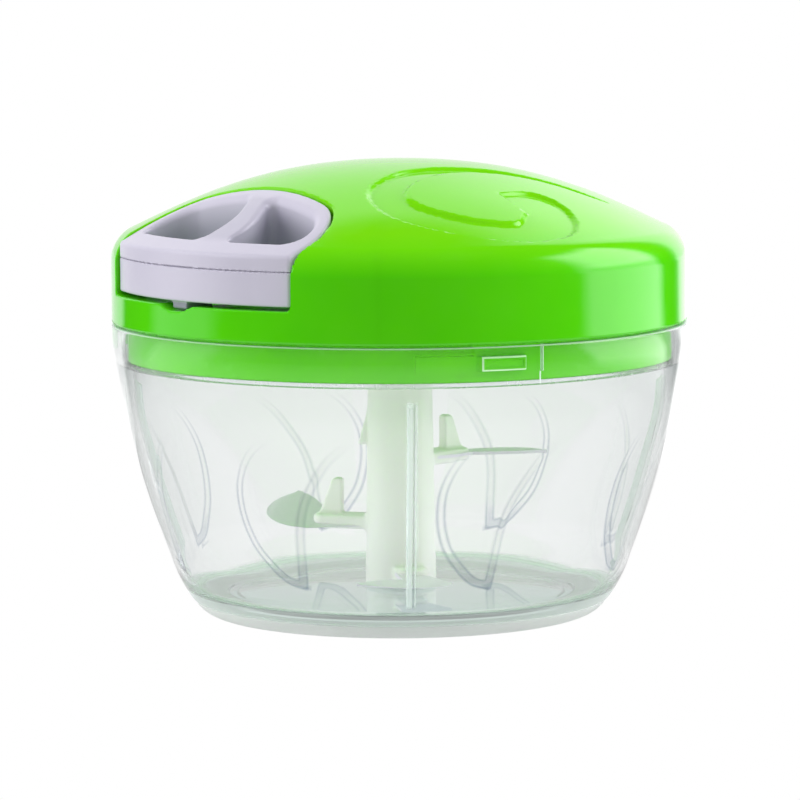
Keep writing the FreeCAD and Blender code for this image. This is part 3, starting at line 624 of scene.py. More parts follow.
def rounded(corners, closed=True, steps=4):
    """A polygon whose corners (x, y, radius) are rounded by arcs."""
    count = len(corners)
    made = []
    for k, (x, y, radius) in enumerate(corners):
        if radius == 0 or (not closed and k in (0, count - 1)):
            made.append((x, y))
            continue
        p = np.array((x, y))
        before = np.array(corners[k - 1][:2]) - p
        after = np.array(corners[(k + 1) % count][:2]) - p
        before /= np.linalg.norm(before)
        after /= np.linalg.norm(after)
        half = math.acos(max(-1.0, min(1.0, float(before @ after)))) / 2
        reach = radius / math.tan(half)
        a, b, weight = p + before * reach, p + after * reach, math.sin(half)
        for step in range(steps + 1):
            t = step / steps
            one, two, three = (1 - t) ** 2, 2 * t * (1 - t) * weight, t * t
            made.append(tuple((a * one + p * two + b * three) / (one + two + three)))
    return made


def divided(points, longest, closed=True):
    """The same line with no step longer than a length."""
    made = []
    ends = points[1:] + points[:1] if closed else points[1:]
    for a, b in zip(points, ends):
        count = max(1, math.ceil(math.hypot(b[0] - a[0], b[1] - a[1]) / longest))
        for k in range(count):
            made.append((a[0] + (b[0] - a[0]) * k / count, a[1] + (b[1] - a[1]) * k / count))
    if not closed:
        made.append(points[-1])
    return made


def band(rows, columns, first=0, wrap_rows=False, wrap_columns=True):
    """Faces between neighbouring rows of points."""
    low = np.arange(rows if wrap_rows else rows - 1)[:, None]
    high = (low + 1) % rows * columns + first
    low = low * columns + first
    here = np.arange(columns if wrap_columns else columns - 1)
    ahead = (here + 1) % columns
    return np.stack([low + here, low + ahead, high + ahead, high + here], 2).reshape(-1, 4).tolist()


def revolved(name, profile, angles, shape=None, closed=True, crease=35.0):
    """A body of revolution whose rings a function may reshape. An open profile has both ends on the axis."""
    r, z = (np.array(column)[:, None] + 0 * angles[None, :] for column in zip(*profile))
    if shape is not None:
        r, z = shape(r, z, angles[None, :] + 0 * r)
    a = np.radians(angles)[None, :]
    grid = np.stack([r * np.cos(a), r * np.sin(a), z], 2)
    rings, columns = len(profile), len(angles)
    if closed:
        return piece(name, grid.reshape(-1, 3), band(rings, columns, wrap_rows=True), crease=crease)
    points = np.concatenate([grid[:1, 0], grid[1:-1].reshape(-1, 3), grid[-1:, 0]])
    last = len(points) - 1
    end = last - columns
    here = np.arange(columns)
    ahead = (here + 1) % columns
    faces = np.stack([0 * here, 1 + ahead, 1 + here], 1).tolist()
    faces += band(rings - 2, columns, first=1)
    faces += np.stack([end + here, end + ahead, 0 * here + last], 1).tolist()
    return piece(name, points, faces, crease=crease)


def columns_of(step, fine=()):
    """Angles round a circle, with extra ones round given places (angle, reach, step)."""
    angles = set(np.round(np.arange(0, 360, step), 4))
    for place, reach, fine_step in fine:
        near = [a for a in angles if abs((a - place + 180) % 360 - 180) <= reach + step / 3]
        angles.difference_update(near)
        for a in np.arange(place - reach, place + reach + fine_step / 2, fine_step):
            angles.add(round(float(a) % 360, 4))
    return np.array(sorted(angles))


def tube(name, line, radius, sides, strands=0):
    """A closed tube along points, with twisted strands if asked for."""
    line = np.asarray(line, float)
    way = np.gradient(line, axis=0)
    way /= np.linalg.norm(way, axis=1)[:, None]
    side = np.cross(way[0], (0, 0, 1.0))
    if np.linalg.norm(side) < 0.1:
        side = np.cross(way[0], (1.0, 0, 0))
    phase = np.arange(sides) * 2 * math.pi / sides
    size = radius * np.ones(sides)
    rings = []
    for place, ahead, gone in zip(line, way, length_along(line)):
        side = side - ahead * (side @ ahead)
        side /= np.linalg.norm(side)
        up = np.cross(ahead, side)
        if strands:
            lobes = np.abs(np.cos(strands / 2 * (phase - gone * 2 * math.pi / cord_twist)))
            size = radius * (1 - strand_depth + strand_depth * lobes)
        rings.append(place + size[:, None] * (np.cos(phase)[:, None] * side + np.sin(phase)[:, None] * up))
    points = np.concatenate(rings + [line[:1], line[-1:]])
    first, last = len(points) - 2, len(points) - 1
    faces = band(len(line), sides)
    for here in range(sides):
        ahead = (here + 1) % sides
        faces += [(first, ahead, here), (last, first - sides + here, first - sides + ahead)]
    return piece(name, points, faces, crease=50.0)


# Materials

class Nodes:
    """A node tree, with short ways to add what the materials and the studio use."""

    def __init__(self, tree):
        tree.nodes.clear()
        self.tree = tree

    def fill(self, node, inputs):
        """Sets each input to a value, or joins it to another node's output."""
        for name, value in inputs.items():
            socket = node.inputs[name]
            if isinstance(value, bpy.types.NodeSocket):
                self.tree.links.new(value, socket)
            else:
                socket.default_value = (*value, 1) if socket.type == "RGBA" else value

    def add(self, kind, inputs=None, **settings):
        node = self.tree.nodes.new("ShaderNode" + kind)
        for name, value in settings.items():
            setattr(node, name, value)
        self.fill(node, inputs or {})
        return node

    def math_of(self, kind, a, b=0):
        return self.add("Math", {0: a, 1: b}, operation=kind).outputs[0]

    times = partialmethod(math_of, "MULTIPLY")
    plus = partialmethod(math_of, "ADD")
    minus = partialmethod(math_of, "SUBTRACT")
    most = partialmethod(math_of, "MAXIMUM")
    least = partialmethod(math_of, "MINIMUM")

    def length(self, a, b):
        return self.math_of("SQRT", self.plus(self.times(a, a), self.times(b, b)))

    def parts(self, vector):
        """A vector's three coordinates."""
        return self.add("SeparateXYZ", {0: vector}).outputs[:]

    def ranged(self, value, low, high, start=0.3, end=0.7):
        """The low value at the start, the high one at the end, and held there."""
        inputs = {"Value": value, "From Min": start, "From Max": end, "To Min": low, "To Max": high}
        return self.add("MapRange", inputs).outputs["Result"]

    def window(self, value, low, high, soft):
        """1 between two values, with soft ends."""
        rise = self.ranged(value, 0, 1, low - soft, low + soft)
        return self.least(rise, self.ranged(value, 1, 0, high - soft, high + soft))

    def noise(self, vector, per_mm, detail=3.0, stretch=None):
        """A noise value whose scale is counted per millimetre."""
        if stretch is not None:
            vector = self.add("Mapping", {"Vector": vector, "Scale": stretch}).outputs[0]
        inputs = {"Vector": vector, "Scale": per_mm, "Detail": detail, "Roughness": 0.55}
        return self.add("TexNoise", inputs).outputs["Fac"]

    def marked(self, name):
        """A value that the mesh carries at its points."""
        return self.add("Attribute", attribute_name=name).outputs["Fac"]

    def mixed(self, factor, first, second):
        """The first colour where the factor is 0, the second where it is 1."""
        inputs = {"Factor": factor, "A": first, "B": second}
        return self.add("Mix", inputs, data_type="RGBA").outputs["Result"]

    def blended(self, factor, first, second):
        """The first shader where the factor is 0, the second where it is 1."""
        return self.add("MixShader", {"Fac": factor, 1: first.outputs[0], 2: second.outputs[0]})

    def bumped(self, *layers):
        """A normal from chained layers, each a value and its height in millimetres."""
        normal = {}
        for value, height in layers:
            node = self.add("Bump", {"Strength": 1.0, "Distance": height * MM, "Height": value, **normal})
            normal = {"Normal": node.outputs[0]}
        return normal["Normal"]


def start_material(name):
    """A new material, with its nodes, its shader and the place on the piece in millimetres."""
    material = bpy.data.materials.new(name)
    material.use_nodes = True
    nodes = Nodes(material.node_tree)
    shader = nodes.add("BsdfPrincipled")
    nodes.output = nodes.add("OutputMaterial", {"Surface": shader.outputs[0]})
    place = nodes.add("TexCoord").outputs["Object"]
    mm = nodes.add("Mapping", {"Vector": place, "Scale": (1 / MM, 1 / MM, 1 / MM)}).outputs[0]
    return material, nodes, shader, mm


def moulded(name, colour, other, gloss, peel=0.006, grain=0.001, ior=1.5, soft=0.0, clear=0.0, shine=0.5,
            soft_radius=(1.0, 1.0, 1.0), painted_top_light=None, lugs=None, painted_shade=None):
    """Moulded plastic or rubber: faint colour drift, orange peel, fine grain and hair scuffs, with optional
    painted light on the top, a painted highlight round the lugs and painted shade where the mesh marks it.
    """
    material, nodes, shader, mm = start_material(name)
    tint = nodes.mixed(nodes.ranged(nodes.noise(mm, 0.07, 2.0), 0, 1), colour, other)
    # Painted light: a paler, yellower colour towards the top, where the light falls
    if painted_top_light is not None:
        pale, levels = painted_top_light
        tint = nodes.mixed(nodes.ranged(nodes.parts(mm)[2], 0, 1, *levels), tint, pale)
    # Painted highlight on the border round each lug
    if lugs is not None:
        tint = nodes.mixed(lug_highlights(nodes, mm), tint, lugs)
    # Painted shade: a darker colour where the mesh's shade mark is set
    if painted_shade is not None:
        tint = nodes.mixed(nodes.marked("shade"), tint, painted_shade)
    cloud = nodes.ranged(nodes.noise(mm, 0.25, 4.0), *gloss)
    hair_a = nodes.noise(mm, 1.0, 2.0, stretch=(0.25, 5.0, 1.2))
    hair_b = nodes.noise(mm, 1.0, 2.0, stretch=(4.0, 0.2, 1.6))
    hair = nodes.most(nodes.ranged(hair_a, 0, 1, 0.66, 0.78), nodes.ranged(hair_b, 0, 1, 0.67, 0.8))
    nodes.fill(shader, {
        "Base Color": tint,
        "Roughness": nodes.plus(cloud, nodes.times(hair, scuff_share)),
        "Normal": nodes.bumped((nodes.noise(mm, 0.28, 1.0), peel), (nodes.noise(mm, 6.0, 2.0), grain)),
        "IOR": ior,
        "Specular IOR Level": shine,
        "Subsurface Weight": soft,
        "Subsurface Radius": soft_radius,
        "Subsurface Scale": MM,
        "Transmission Weight": clear,
    })
    return material


def lug_highlights(nodes, mm):
    """1 on the painted highlight border round each lug of the twist lock."""
    x, y, z = nodes.parts(mm)
    turn = nodes.minus(nodes.math_of("ARCTAN2", y, x), math.radians(lug_angle - lug_span / 2))
    past = nodes.times(nodes.math_of("FLOORED_MODULO", turn, 2 * math.pi / lug_count), rim_radius)
    over = nodes.minus(z, lug_low)
    inside = nodes.least(past, nodes.minus(math.radians(lug_span) * rim_radius, past))
    inside = nodes.least(inside, nodes.least(over, nodes.minus(lug_height, over)))
    return nodes.window(inside, 0, lug_line, 0.05)


def leaf_tones(nodes):
    """How grey the painted shade lines along the leaves' edges are, and how milky the painted highlight bands
    inside them.
    """
    inside, right, low, kept = (nodes.marked("leaf_" + name) for name in ("inside", "right", "low", "kept"))
    high = nodes.minus(1, low)
    lines = nodes.most(nodes.window(inside, *leaf_outer_line), nodes.window(inside, *leaf_inner_line))
    high_strength = nodes.minus(leaf_line_high, nodes.times(right, leaf_line_right_loss))
    strength = nodes.plus(nodes.times(low, leaf_line_low), nodes.times(high, high_strength))
    between_lines = nodes.times(nodes.window(inside, *leaf_between), nodes.times(low, leaf_between_share))
    grey = nodes.times(nodes.most(nodes.times(lines, strength), between_lines), kept)
    ribbon = nodes.times(nodes.window(inside, *leaf_ribbon), nodes.times(right, leaf_ribbon_share))
    return grey, nodes.times(nodes.times(ribbon, high), kept)


def rib_tones(nodes):
    """How grey the painted shade in the groove beside each rib is, and how milky the painted highlight on the
    rib.
    """
    across, kept = nodes.marked("rib_across"), nodes.marked("rib_kept")
    groove = nodes.times(nodes.window(across, *rib_groove), nodes.times(kept, rib_groove_share))
    stripe = nodes.times(nodes.window(across, *rib_stripe), rib_stripe_share)
    edge = nodes.times(nodes.window(across, *rib_edge), rib_edge_share)
    return groove, nodes.times(nodes.most(stripe, edge), kept)


def lock_tones(nodes, mm):
    """How milky the painted highlight line at the end of each lock channel is, and the painted pale band on
    the bowl's base, which also covers dark refraction marks.
    """
    x, y, level = nodes.parts(mm)
    radius = nodes.length(x, y)
    pitch = 2 * math.pi / lug_count
    channel_end = math.radians(lug_angle + lug_span / 2 + entry_after)
    past = nodes.minus(nodes.math_of("ARCTAN2", y, x), channel_end - pitch / 2)
    past = nodes.minus(nodes.math_of("FLOORED_MODULO", past, pitch), pitch / 2)
    line = nodes.times(nodes.window(nodes.times(past, rim_radius), *lock_line), lock_line_share)
    line = nodes.times(line, nodes.window(level, ledge_z + 0.3, bowl_height - 0.4, 0.1))
    depth = nodes.window(radius, collar_inner - 0.3, collar_inner + channel_depth + 0.2, 0.1)
    on_base = nodes.window(level, floor_bottom - 1, floor_top + 0.4, 0.4)
    base = nodes.times(on_base, nodes.ranged(radius, 0, base_share, *base_edge))
    return nodes.most(nodes.times(line, depth), base)


def clear_plastic():
    """Clear moulded plastic that lets lamplight through to what it holds, with painted shade lines and
    painted highlights on it.
    """
    material, nodes, shader, mm = start_material("clear_plastic")
    leaf_shade_lines, leaf_highlight = leaf_tones(nodes)
    rib_shade_lines, rib_highlight = rib_tones(nodes)
    painted_pale = nodes.most(nodes.most(leaf_highlight, rib_highlight), lock_tones(nodes, mm))
    nodes.fill(shader, {
        # Painted shade: the colour turns grey-blue on the marked lines
        "Base Color": nodes.mixed(nodes.most(leaf_shade_lines, rib_shade_lines), (0.985, 0.993, 0.993), (0.3, 0.36, 0.46)),
        "Transmission Weight": 1.0,
        "IOR": 1.04,
        "Coat Weight": 1.0,
        "Coat Roughness": 0.03,
        "Roughness": nodes.ranged(nodes.noise(mm, 0.15, 3.0), 0.015, 0.045),
        "Normal": nodes.bumped((nodes.noise(mm, 0.12, 1.0), 0.006)),
    })
    # Painted highlights: a pale diffuse mixed in on the marked bands and on the rim's top
    edge = nodes.add("BsdfDiffuse", {"Color": (0.86, 0.95, 0.92)})
    top = nodes.ranged(nodes.parts(mm)[2], 0, 0.6, bowl_height - 0.3, bowl_height - 0.05)
    seen = nodes.blended(nodes.most(top, painted_pale), shader, edge)
    lamplit = nodes.add("BsdfTransparent", {"Color": (0.95, 0.965, 0.962)})
    shadow = nodes.add("LightPath").outputs["Is Shadow Ray"]
    depth = nodes.add("VolumeAbsorption", {"Color": (0.15, 0.25, 0.23), "Density": 20.0})
    surface = nodes.blended(shadow, seen, lamplit)
    nodes.fill(nodes.output, {"Surface": surface.outputs[0], "Volume": depth.outputs[0]})
    return material


def steel(name, colour, gloss, stretch, metal=1.0):
    """Steel with fine grinding lines."""
    material, nodes, shader, mm = start_material(name)
    lines = nodes.noise(mm, 2.0, 3.0, stretch=stretch)
    shade = tuple(0.82 * value for value in colour)
    cloud = nodes.ranged(nodes.noise(mm, 0.4, 3.0), *gloss)
    nodes.fill(shader, {
        "Metallic": metal,
        "Base Color": nodes.mixed(nodes.ranged(lines, 0, 1), colour, shade),
        "Roughness": nodes.plus(cloud, nodes.ranged(lines, 0, 0.08)),
        "Normal": nodes.bumped((lines, 0.0006), (nodes.noise(mm, 9.0, 2.0), 0.0003)),
    })
    return material


def nylon():
    """Braided white nylon."""
    material, nodes, shader, mm = start_material("cord_nylon")
    fibre = nodes.noise(mm, 5.0, 3.0, stretch=(3.0, 0.6, 3.0))
    nodes.fill(shader, {
        "Base Color": nodes.mixed(nodes.ranged(fibre, 0, 1), (0.86, 0.86, 0.84), (0.66, 0.66, 0.64)),
        "Roughness": nodes.ranged(fibre, 0.5, 0.72),
        "Sheen Weight": 0.25,
        "Normal": nodes.bumped((fibre, 0.03)),
    })
    return material


materials = {
    "clear": clear_plastic(),
    # The green lid gets painted light on its top, above the given levels
    "green": moulded("green_plastic", (0.09, 0.7, 0.002), (0.1, 0.72, 0.003), (0.07, 0.13), soft=0.05,
                     soft_radius=(0.3, 1.2, 0.1), painted_top_light=((0.2, 0.76, 0.004), (78.0, 86.0))),
    # The skirt gets a painted highlight round each lug
    "skirt": moulded("green_skirt", (0.1, 0.6, 0.002), (0.115, 0.63, 0.003), (0.2, 0.28),
                     lugs=(0.62, 0.95, 0.55), shine=0.2),
    # The lilac grip gets painted shade in its holes, on the bar between them and underneath
    "lilac": moulded("lilac_plastic", (0.635, 0.61, 0.73), (0.655, 0.63, 0.745), (0.3, 0.4), grain=0.003,
                     soft=0.08, painted_shade=(0.3, 0.3, 0.38)),
    "milky": moulded("milky_plastic", (0.82, 0.81, 0.79), (0.84, 0.82, 0.8), (0.28, 0.38), grain=0.002,
                     soft=0.35, soft_radius=(2.0, 2.4, 1.8)),
    "white": moulded("white_plastic", (0.8, 0.81, 0.8), (0.76, 0.77, 0.76), (0.28, 0.4), grain=0.002,
                     soft=0.1),
    "foot": moulded("foot_rubber", (0.86, 0.91, 0.88), (0.88, 0.92, 0.9), (0.45, 0.58), peel=0.004,
                    grain=0.006, soft=0.3, soft_radius=(1.6, 1.8, 1.6), clear=0.25),
    "seal": moulded("seal_rubber", (0.96, 0.97, 0.99), (0.94, 0.95, 0.98), (0.2, 0.3), clear=0.85, ior=1.08),
    "blade": steel("blade_steel", (0.9, 0.83, 0.96), (0.3, 0.38), (0.3, 5.0, 3.0), metal=0.2),
    "screw": steel("screw_steel", (0.56, 0.57, 0.58), (0.25, 0.35), (2.0, 2.0, 2.0)),
    "spring": steel("spring_steel", (0.42, 0.43, 0.46), (0.25, 0.36), (1.5, 1.5, 8.0)),
    "polished": steel("polished_steel", (0.68, 0.69, 0.7), (0.1, 0.18), (4.0, 4.0, 0.4)),
    "nylon": nylon(),
}


def finish_piece(thing, body, material, slot_name, *nodes):
    """Gives a piece its material and its body, and hides the CAD nodes that it stands for."""
    thing.data.materials.clear()
    thing.data.materials.append(materials[material])
    if body:
        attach(thing, body)
    if nodes:
        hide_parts(*nodes)


# Bowl

wall_top = (rim_radius, taper_z)
wall_waist = (waist_radius, waist_z)
wall_base = (base_radius, floor_bottom)


def inner_wall(z):
    """The inner radius of the bowl's wall."""
    share = (z - waist_z) / (taper_z - waist_z)
    chord = waist_radius + (rim_radius - waist_radius) * share
    bow = wall_bulge * 4 * share * (1 - share) / math.cos(wall_lean)
    return chord + bow - wall / math.cos(wall_lean)


channel_low = skirt_bottom + lug_bottom - lock_play
channel_high = channel_low + lug_height + 2 * lock_play
channel_radius = collar_inner + channel_depth
lug_starts = [lug_angle - lug_span / 2 + number * 360 / lug_count for number in range(lug_count)]
play_angle = math.degrees(lock_play / collar_inner)


def past_lug(angle, start):
    """The turn past a lug's start."""
    return (angle - start + 180) % 360 - 180


def rib_offset(angle):
    """The turn from the nearest rib."""
    pitch = 360 / rib_count
    return (angle - rib_angle + pitch / 2) % pitch - pitch / 2


def bowl_outside():
    """The bowl's section from the axis, under the floor and up to the rim."""
    rib_inner = foot_rib_radius - foot_rib_wall
    rib_low = floor_bottom - foot_rib_depth
    corners = [(0, floor_bottom, 0), (rib_inner, floor_bottom, 0.3), (rib_inner, rib_low, 0.5),
               (foot_rib_radius, rib_low, 0.5), (foot_rib_radius, floor_bottom, 0.3), (*wall_base, 0.4)]
    corners += sharp(arc(wall_base, midway(wall_base, wall_waist, corner_bulge), wall_waist, 14)[1:])
    taper = arc(wall_waist, midway(wall_waist, wall_top, wall_bulge), wall_top, 80)[1:]
    corners += sharp(p for k, p in enumerate(taper) if p[1] < leaf_top + 2 or k % 4 == 3)
    return corners + [(rim_radius, bowl_height, 0.5), (collar_inner, bowl_height, 0.4)]


def bowl_inside():
    """The bowl's section from the rim, down the wall and over the floor to the axis."""
    corners = []
    for level in (channel_high, channel_low):
        corners += [(collar_inner, level + 0.06, 0), (collar_inner, level - 0.06, 0)]
    ledge_inner = np.array((collar_inner - ledge_width, ledge_z))
    slope_end = ledge_z - 2 * ledge_slope
    slope_bend, slope_low = (np.array((inner_wall(z), z)) for z in (ledge_z - ledge_slope, slope_end))
    corners += [(collar_inner, ledge_z, 0.3), (*ledge_inner, 0.4)]
    corners += sharp(bent(ledge_inner, slope_bend, slope_low, 16)[1:])
    low_r, low_z = inner_wall(waist_z + wall), waist_z + wall
    corners += [(inner_wall(z), z, 0) for z in np.linspace(slope_end, low_z, 10)[1:]]
    corner_z = floor_top + (low_z - floor_top) * floor_corner_share
    corner_mid = (low_r - floor_corner * floor_corner_share, corner_z)
    corners += sharp(arc((low_r, low_z), corner_mid, (low_r - floor_corner, floor_top), 8)[1:])
    return corners + [(pin_boss_radius + pin_boss_height, floor_top, 0.3),
                      (pin_boss_radius, post_bottom, 0.2), (0, post_bottom, 0)]


def wall_radius(z):
    """The bowl's rough radius where the leaves are."""
    return 0.45 * z + 40


leaf_edge = np.array([(math.radians(share) * wall_radius(z), z) for share, z in leaf_line])
leaf_loop = curve_points(np.concatenate([leaf_edge, leaf_edge[:1]]))[:-1]
leaf = PlanField(leaf_loop, 0.15, 4.0)


def leaf_place(angle, z):
    """How far a place on the wall is inside a leaf, its turn there, and how much of the leaf is left."""
    share = (angle - leaf_tip_angle + leaf_before) % (360 / leaf_count) - leaf_before
    inside = -leaf(np.radians(share) * wall_radius(z), z)
    return inside, share, 1 - smooth((z - leaf_fade) / leaf_fade_run)


def leaf_relief(angle, z):
    """Height of the leaf-shaped fields on the wall."""
    inside, _, left_over = leaf_place(angle, z)
    return leaf_depth * smooth(inside / leaf_ramp) * left_over


def bowl_tones(x, y, z):
    """Values for the clear plastic: where in a leaf, and how far from a rib, each point is."""
    r = np.hypot(x, y)
    angle = np.degrees(np.arctan2(y, x))
    inside, share, left_over = leaf_place(angle, z)
    across = np.radians(rib_offset(angle)) * r
    on_wall = (r > inner_wall(z) + 1) & (z > floor_bottom + 1) & (z < ledge_z)
    on_rib = (r < inner_wall(z) + 0.3) & (np.abs(across) < 3)
    on_rib &= (z > floor_top + 2) & (z < rib_top + 0.5)
    return {
        "leaf_inside": np.clip(inside, -3, 8),
        "leaf_right": smooth((share - np.interp(z, *zip(*leaf_middle))) / 3 + 0.5),
        "leaf_low": smooth((19 - z) / 6),
        "leaf_kept": left_over * on_wall,
        "rib_across": np.clip(across, -4, 4),
        "rib_kept": on_rib * 1.0,
    }


def bowl_shape(r, z, angle):
    """Adds the ribs, the leaves and the lock's channels to the bowl's rings."""
    way_r = np.gradient(r, axis=0)
    way_z = np.gradient(z, axis=0)
    length = np.maximum(np.hypot(way_r, way_z), 1e-6)
    out_r, out_z = way_z / length, -way_r / length
    inner_face = (out_r < 0.2) & (z > floor_top - 0.05) & (r > 30) & (z < rib_top + 1.5)
    outer_face = (out_r > 0.5) & (z > floor_bottom + 0.5) & (z < ledge_z)
    across = np.abs(np.sin(np.radians(rib_offset(angle)))) * r
    rib = rib_depth * smooth((rib_half_width + 0.15 - across) / 0.5) * smooth((rib_top + 0.6 - z) / 0.9)
    rib *= smooth((r - 34) / 5) * smooth((z - floor_top) / 5)
    push = np.where(inner_face, rib, 0) + np.where(outer_face, leaf_relief(angle, z), 0)
    r = r + out_r * push
    z = z + out_z * push
    near = (r < channel_radius) & (r > collar_inner - 1) & (z > channel_low)
    cut = np.zeros(r.shape, bool)
    for start in lug_starts:
        past = past_lug(angle, start)
        in_slot = past > -entry_before
        in_run = (past > -lock_turn - play_angle) & (z < channel_high)
        cut |= near & (past < lug_span + entry_after) & (in_slot | in_run)
    return np.where(cut, channel_radius, r), z


def make_bowl():
    fine = [(rib_angle + number * 360 / rib_count, 1.8, 0.18) for number in range(rib_count)]
    for start in lug_starts:
        for edge in (-lock_turn - play_angle, -entry_before, lug_span + entry_after):
            fine.append((start + edge, 0.05, 0.1))
    profile = divided(rounded(bowl_outside() + bowl_inside(), closed=False), 4.5, closed=False)
    bowl = revolved("bowl_clear", profile, columns_of(0.5, fine), bowl_shape, closed=False, crease=50)
    for name, values in bowl_tones(*places_of(bowl)).items():
        keep_tone(bowl, name, values)
    finish_piece(bowl, "bowl", "clear", "clear_plastic", "bowl")


def make_foot():
    inner = foot_rib_radius + foot_fit
    outer = base_radius - foot_lip
    toe = base_radius - foot_toe
    side = ((outer + toe) / 2 + foot_bulge, floor_bottom * foot_bulge_share)
    corners = [(inner, 0, 0.3), (toe, 0, 0.5), *sharp(arc((toe, 0), side, (outer, floor_bottom), 10)[1:-1]),
               (outer, floor_bottom, 0.2), (inner, floor_bottom, 0.2)]
    foot = revolved("foot_frosted", divided(rounded(corners), 1.5), columns_of(1.0), crease=50)
    finish_piece(foot, "bowl", "foot", "foot_rubber", "nonslip_foot")


def make_seal():
    outer = collar_inner - seal_side_gap
    inner = skirt_inner - seal_overhang
    lip = outer - seal_height / 2
    side = arc((lip, ledge_z), (outer, ledge_z + seal_height / 2), (lip, skirt_bottom), 6)
    corners = [(inner, ledge_z, 0.3), (lip, ledge_z, 0), *sharp(side[1:]), (inner, skirt_bottom, 0.3)]
    seal = revolved("seal_soft", divided(rounded(corners), 1.0), columns_of(1.0), crease=60)
    finish_piece(seal, "seal", "seal", "seal_rubber", "seal_ring")


# Lid

def crown_powers():
    """An even polynomial through the dome's points, with the slope that the shoulder asks for."""
    slope = math.radians(dome_end_slope)
    round_r = lid_radius - shoulder_radius * (1 - math.sin(slope))
    round_z = lid_bottom + lid_shoulder + shoulder_radius * math.cos(slope)
    rows, right = [], []
    for share, fall in ((0.0, 0.0),) + dome_shape + ((1.0, 1.0),):
        rows.append([share ** (2 * k) for k in range(6)])
        right.append(lid_top - (lid_top - round_z) * fall)
    rows.append([2 * k for k in range(6)])
    right.append(-math.tan(slope) * round_r)
    return np.linalg.solve(np.array(rows), np.array(right)), round_r, math.tan(slope)


crown, crown_radius, crown_slope = crown_powers()


def crown_height(r):
    """The height of the dome's top at a radius."""
    share = np.minimum((r / crown_radius) ** 2, 1)
    height = sum(value * share ** k for k, value in enumerate(crown))
    return height - np.maximum(r - crown_radius, 0) * crown_slope


def dome_field(x, y, z, inset=0.0, drop=0.0, sunk=0.0, edge=shoulder_radius):
    """The lid's outer form, drawn in and lowered, with its top sunk by a depth."""
    r = np.hypot(x, y)
    spread = (lid_radius - inset) / lid_radius
    height = crown_height(r / spread) - drop - sunk
    tilt = np.cos(np.arctan(crown_slope * np.minimum(r / crown_radius, 1)))
    return both((z - height) * tilt, r - (lid_radius - inset), edge)


def grip_outline(x, y, grow, outer, edge=0.0):
    """Top view of the grip, grown by a distance, out to a radius round the Z axis."""
    side = np.abs(x) - (grip_half_width + grow)
    back = np.hypot(x, y - bend_y) - (grip_inner_bend + grow)
    plan = both(side, back, grip_corner + grow)
    return both(plan, np.hypot(x, y) - outer, edge)


relief = PlanField(np.concatenate([curve_points(relief_outer), curve_points(relief_inner)]), 0.4, 4.0)


def groove_field(x, z, grow, fillet):
    """The round-bottomed trough that the cord's end lies in."""
    half = groove_half_width + grow
    return both(np.abs(x) - half, between(z, groove_floor - grow, bay_floor_z + 2), fillet)


def lid_hollow(x, y, z):
    """The room under the dome, round the bay's walls, the screw posts and the axle's boss."""
    hollow = both(dome_field(x, y, z, lid_wall, lid_wall), lid_bottom - 5 - z)
    skin = both(grip_outline(x, y, bay_play + bay_wall, bay_end), bay_floor_z - bay_floor_wall - z, 1.0)
    trough_skin = both(groove_field(x, z, bay_wall, 3.0), y + grip_inner - bay_play - bay_wall)
    solids = [skin, trough_skin]
    for angle in post_angles:
        a = math.radians(angle)
        from_post = np.hypot(x - post_circle * math.cos(a), y - post_circle * math.sin(a))
        solids.append(both(from_post - post_outer, plate_top - z))
    solids.append(both(np.hypot(x, y) - axle_boss, axle_boss_bottom - z))
    for solid in solids:
        hollow = without(hollow, solid, lid_fillet)
    return hollow


def lid_field(x, y, z):
    dip = relief_depth * smooth(0.5 - relief(x, y) / relief_lip)
    outer = both(dome_field(x, y, z, sunk=dip), lid_bottom - z, lid_edge)
    shell = without(outer, lid_hollow(x, y, z))
    pocket = both(grip_outline(x, y, bay_play, bay_end), bay_floor_z - z, bay_corner)
    trough = both(groove_field(x, z, 0.0, 3.6), y + grip_inner - bay_play)
    pocket = either(pocket, trough, groove_flare)
    bore = both(np.hypot(x, z - cord_z) - eyelet_bore, np.abs(y + grip_inner) - 4)
    return without(without(shell, pocket, bay_lip), bore)


def make_lid():
    low = (-lid_radius, -lid_radius, lid_bottom)
    lid = netted("lid_dome", lid_field, low, (lid_radius, lid_radius, lid_top), lid_steps)
    finish_piece(lid, "lid", "green", "green_plastic", "lid_cover")


def base_shape(r, z, angle):
    """Adds the lugs, with their dished faces, to the skirt's rings."""
    on_skirt = (r > skirt_outer - 0.3) & (z < lid_bottom)
    for start in lug_starts:
        past = past_lug(angle, start)
        aside = np.minimum(past, lug_span - past) * math.radians(1) * skirt_outer
        edge = np.minimum(aside, np.minimum(z - lug_low, lug_low + lug_height - z))
        height = lug_depth - 0.25 * (1 - smooth(edge / 0.5)) - lug_dish * smooth((edge - lug_border) / 0.25)
        r = np.where(on_skirt & (edge > 0), skirt_outer + height, r)
    return r, z


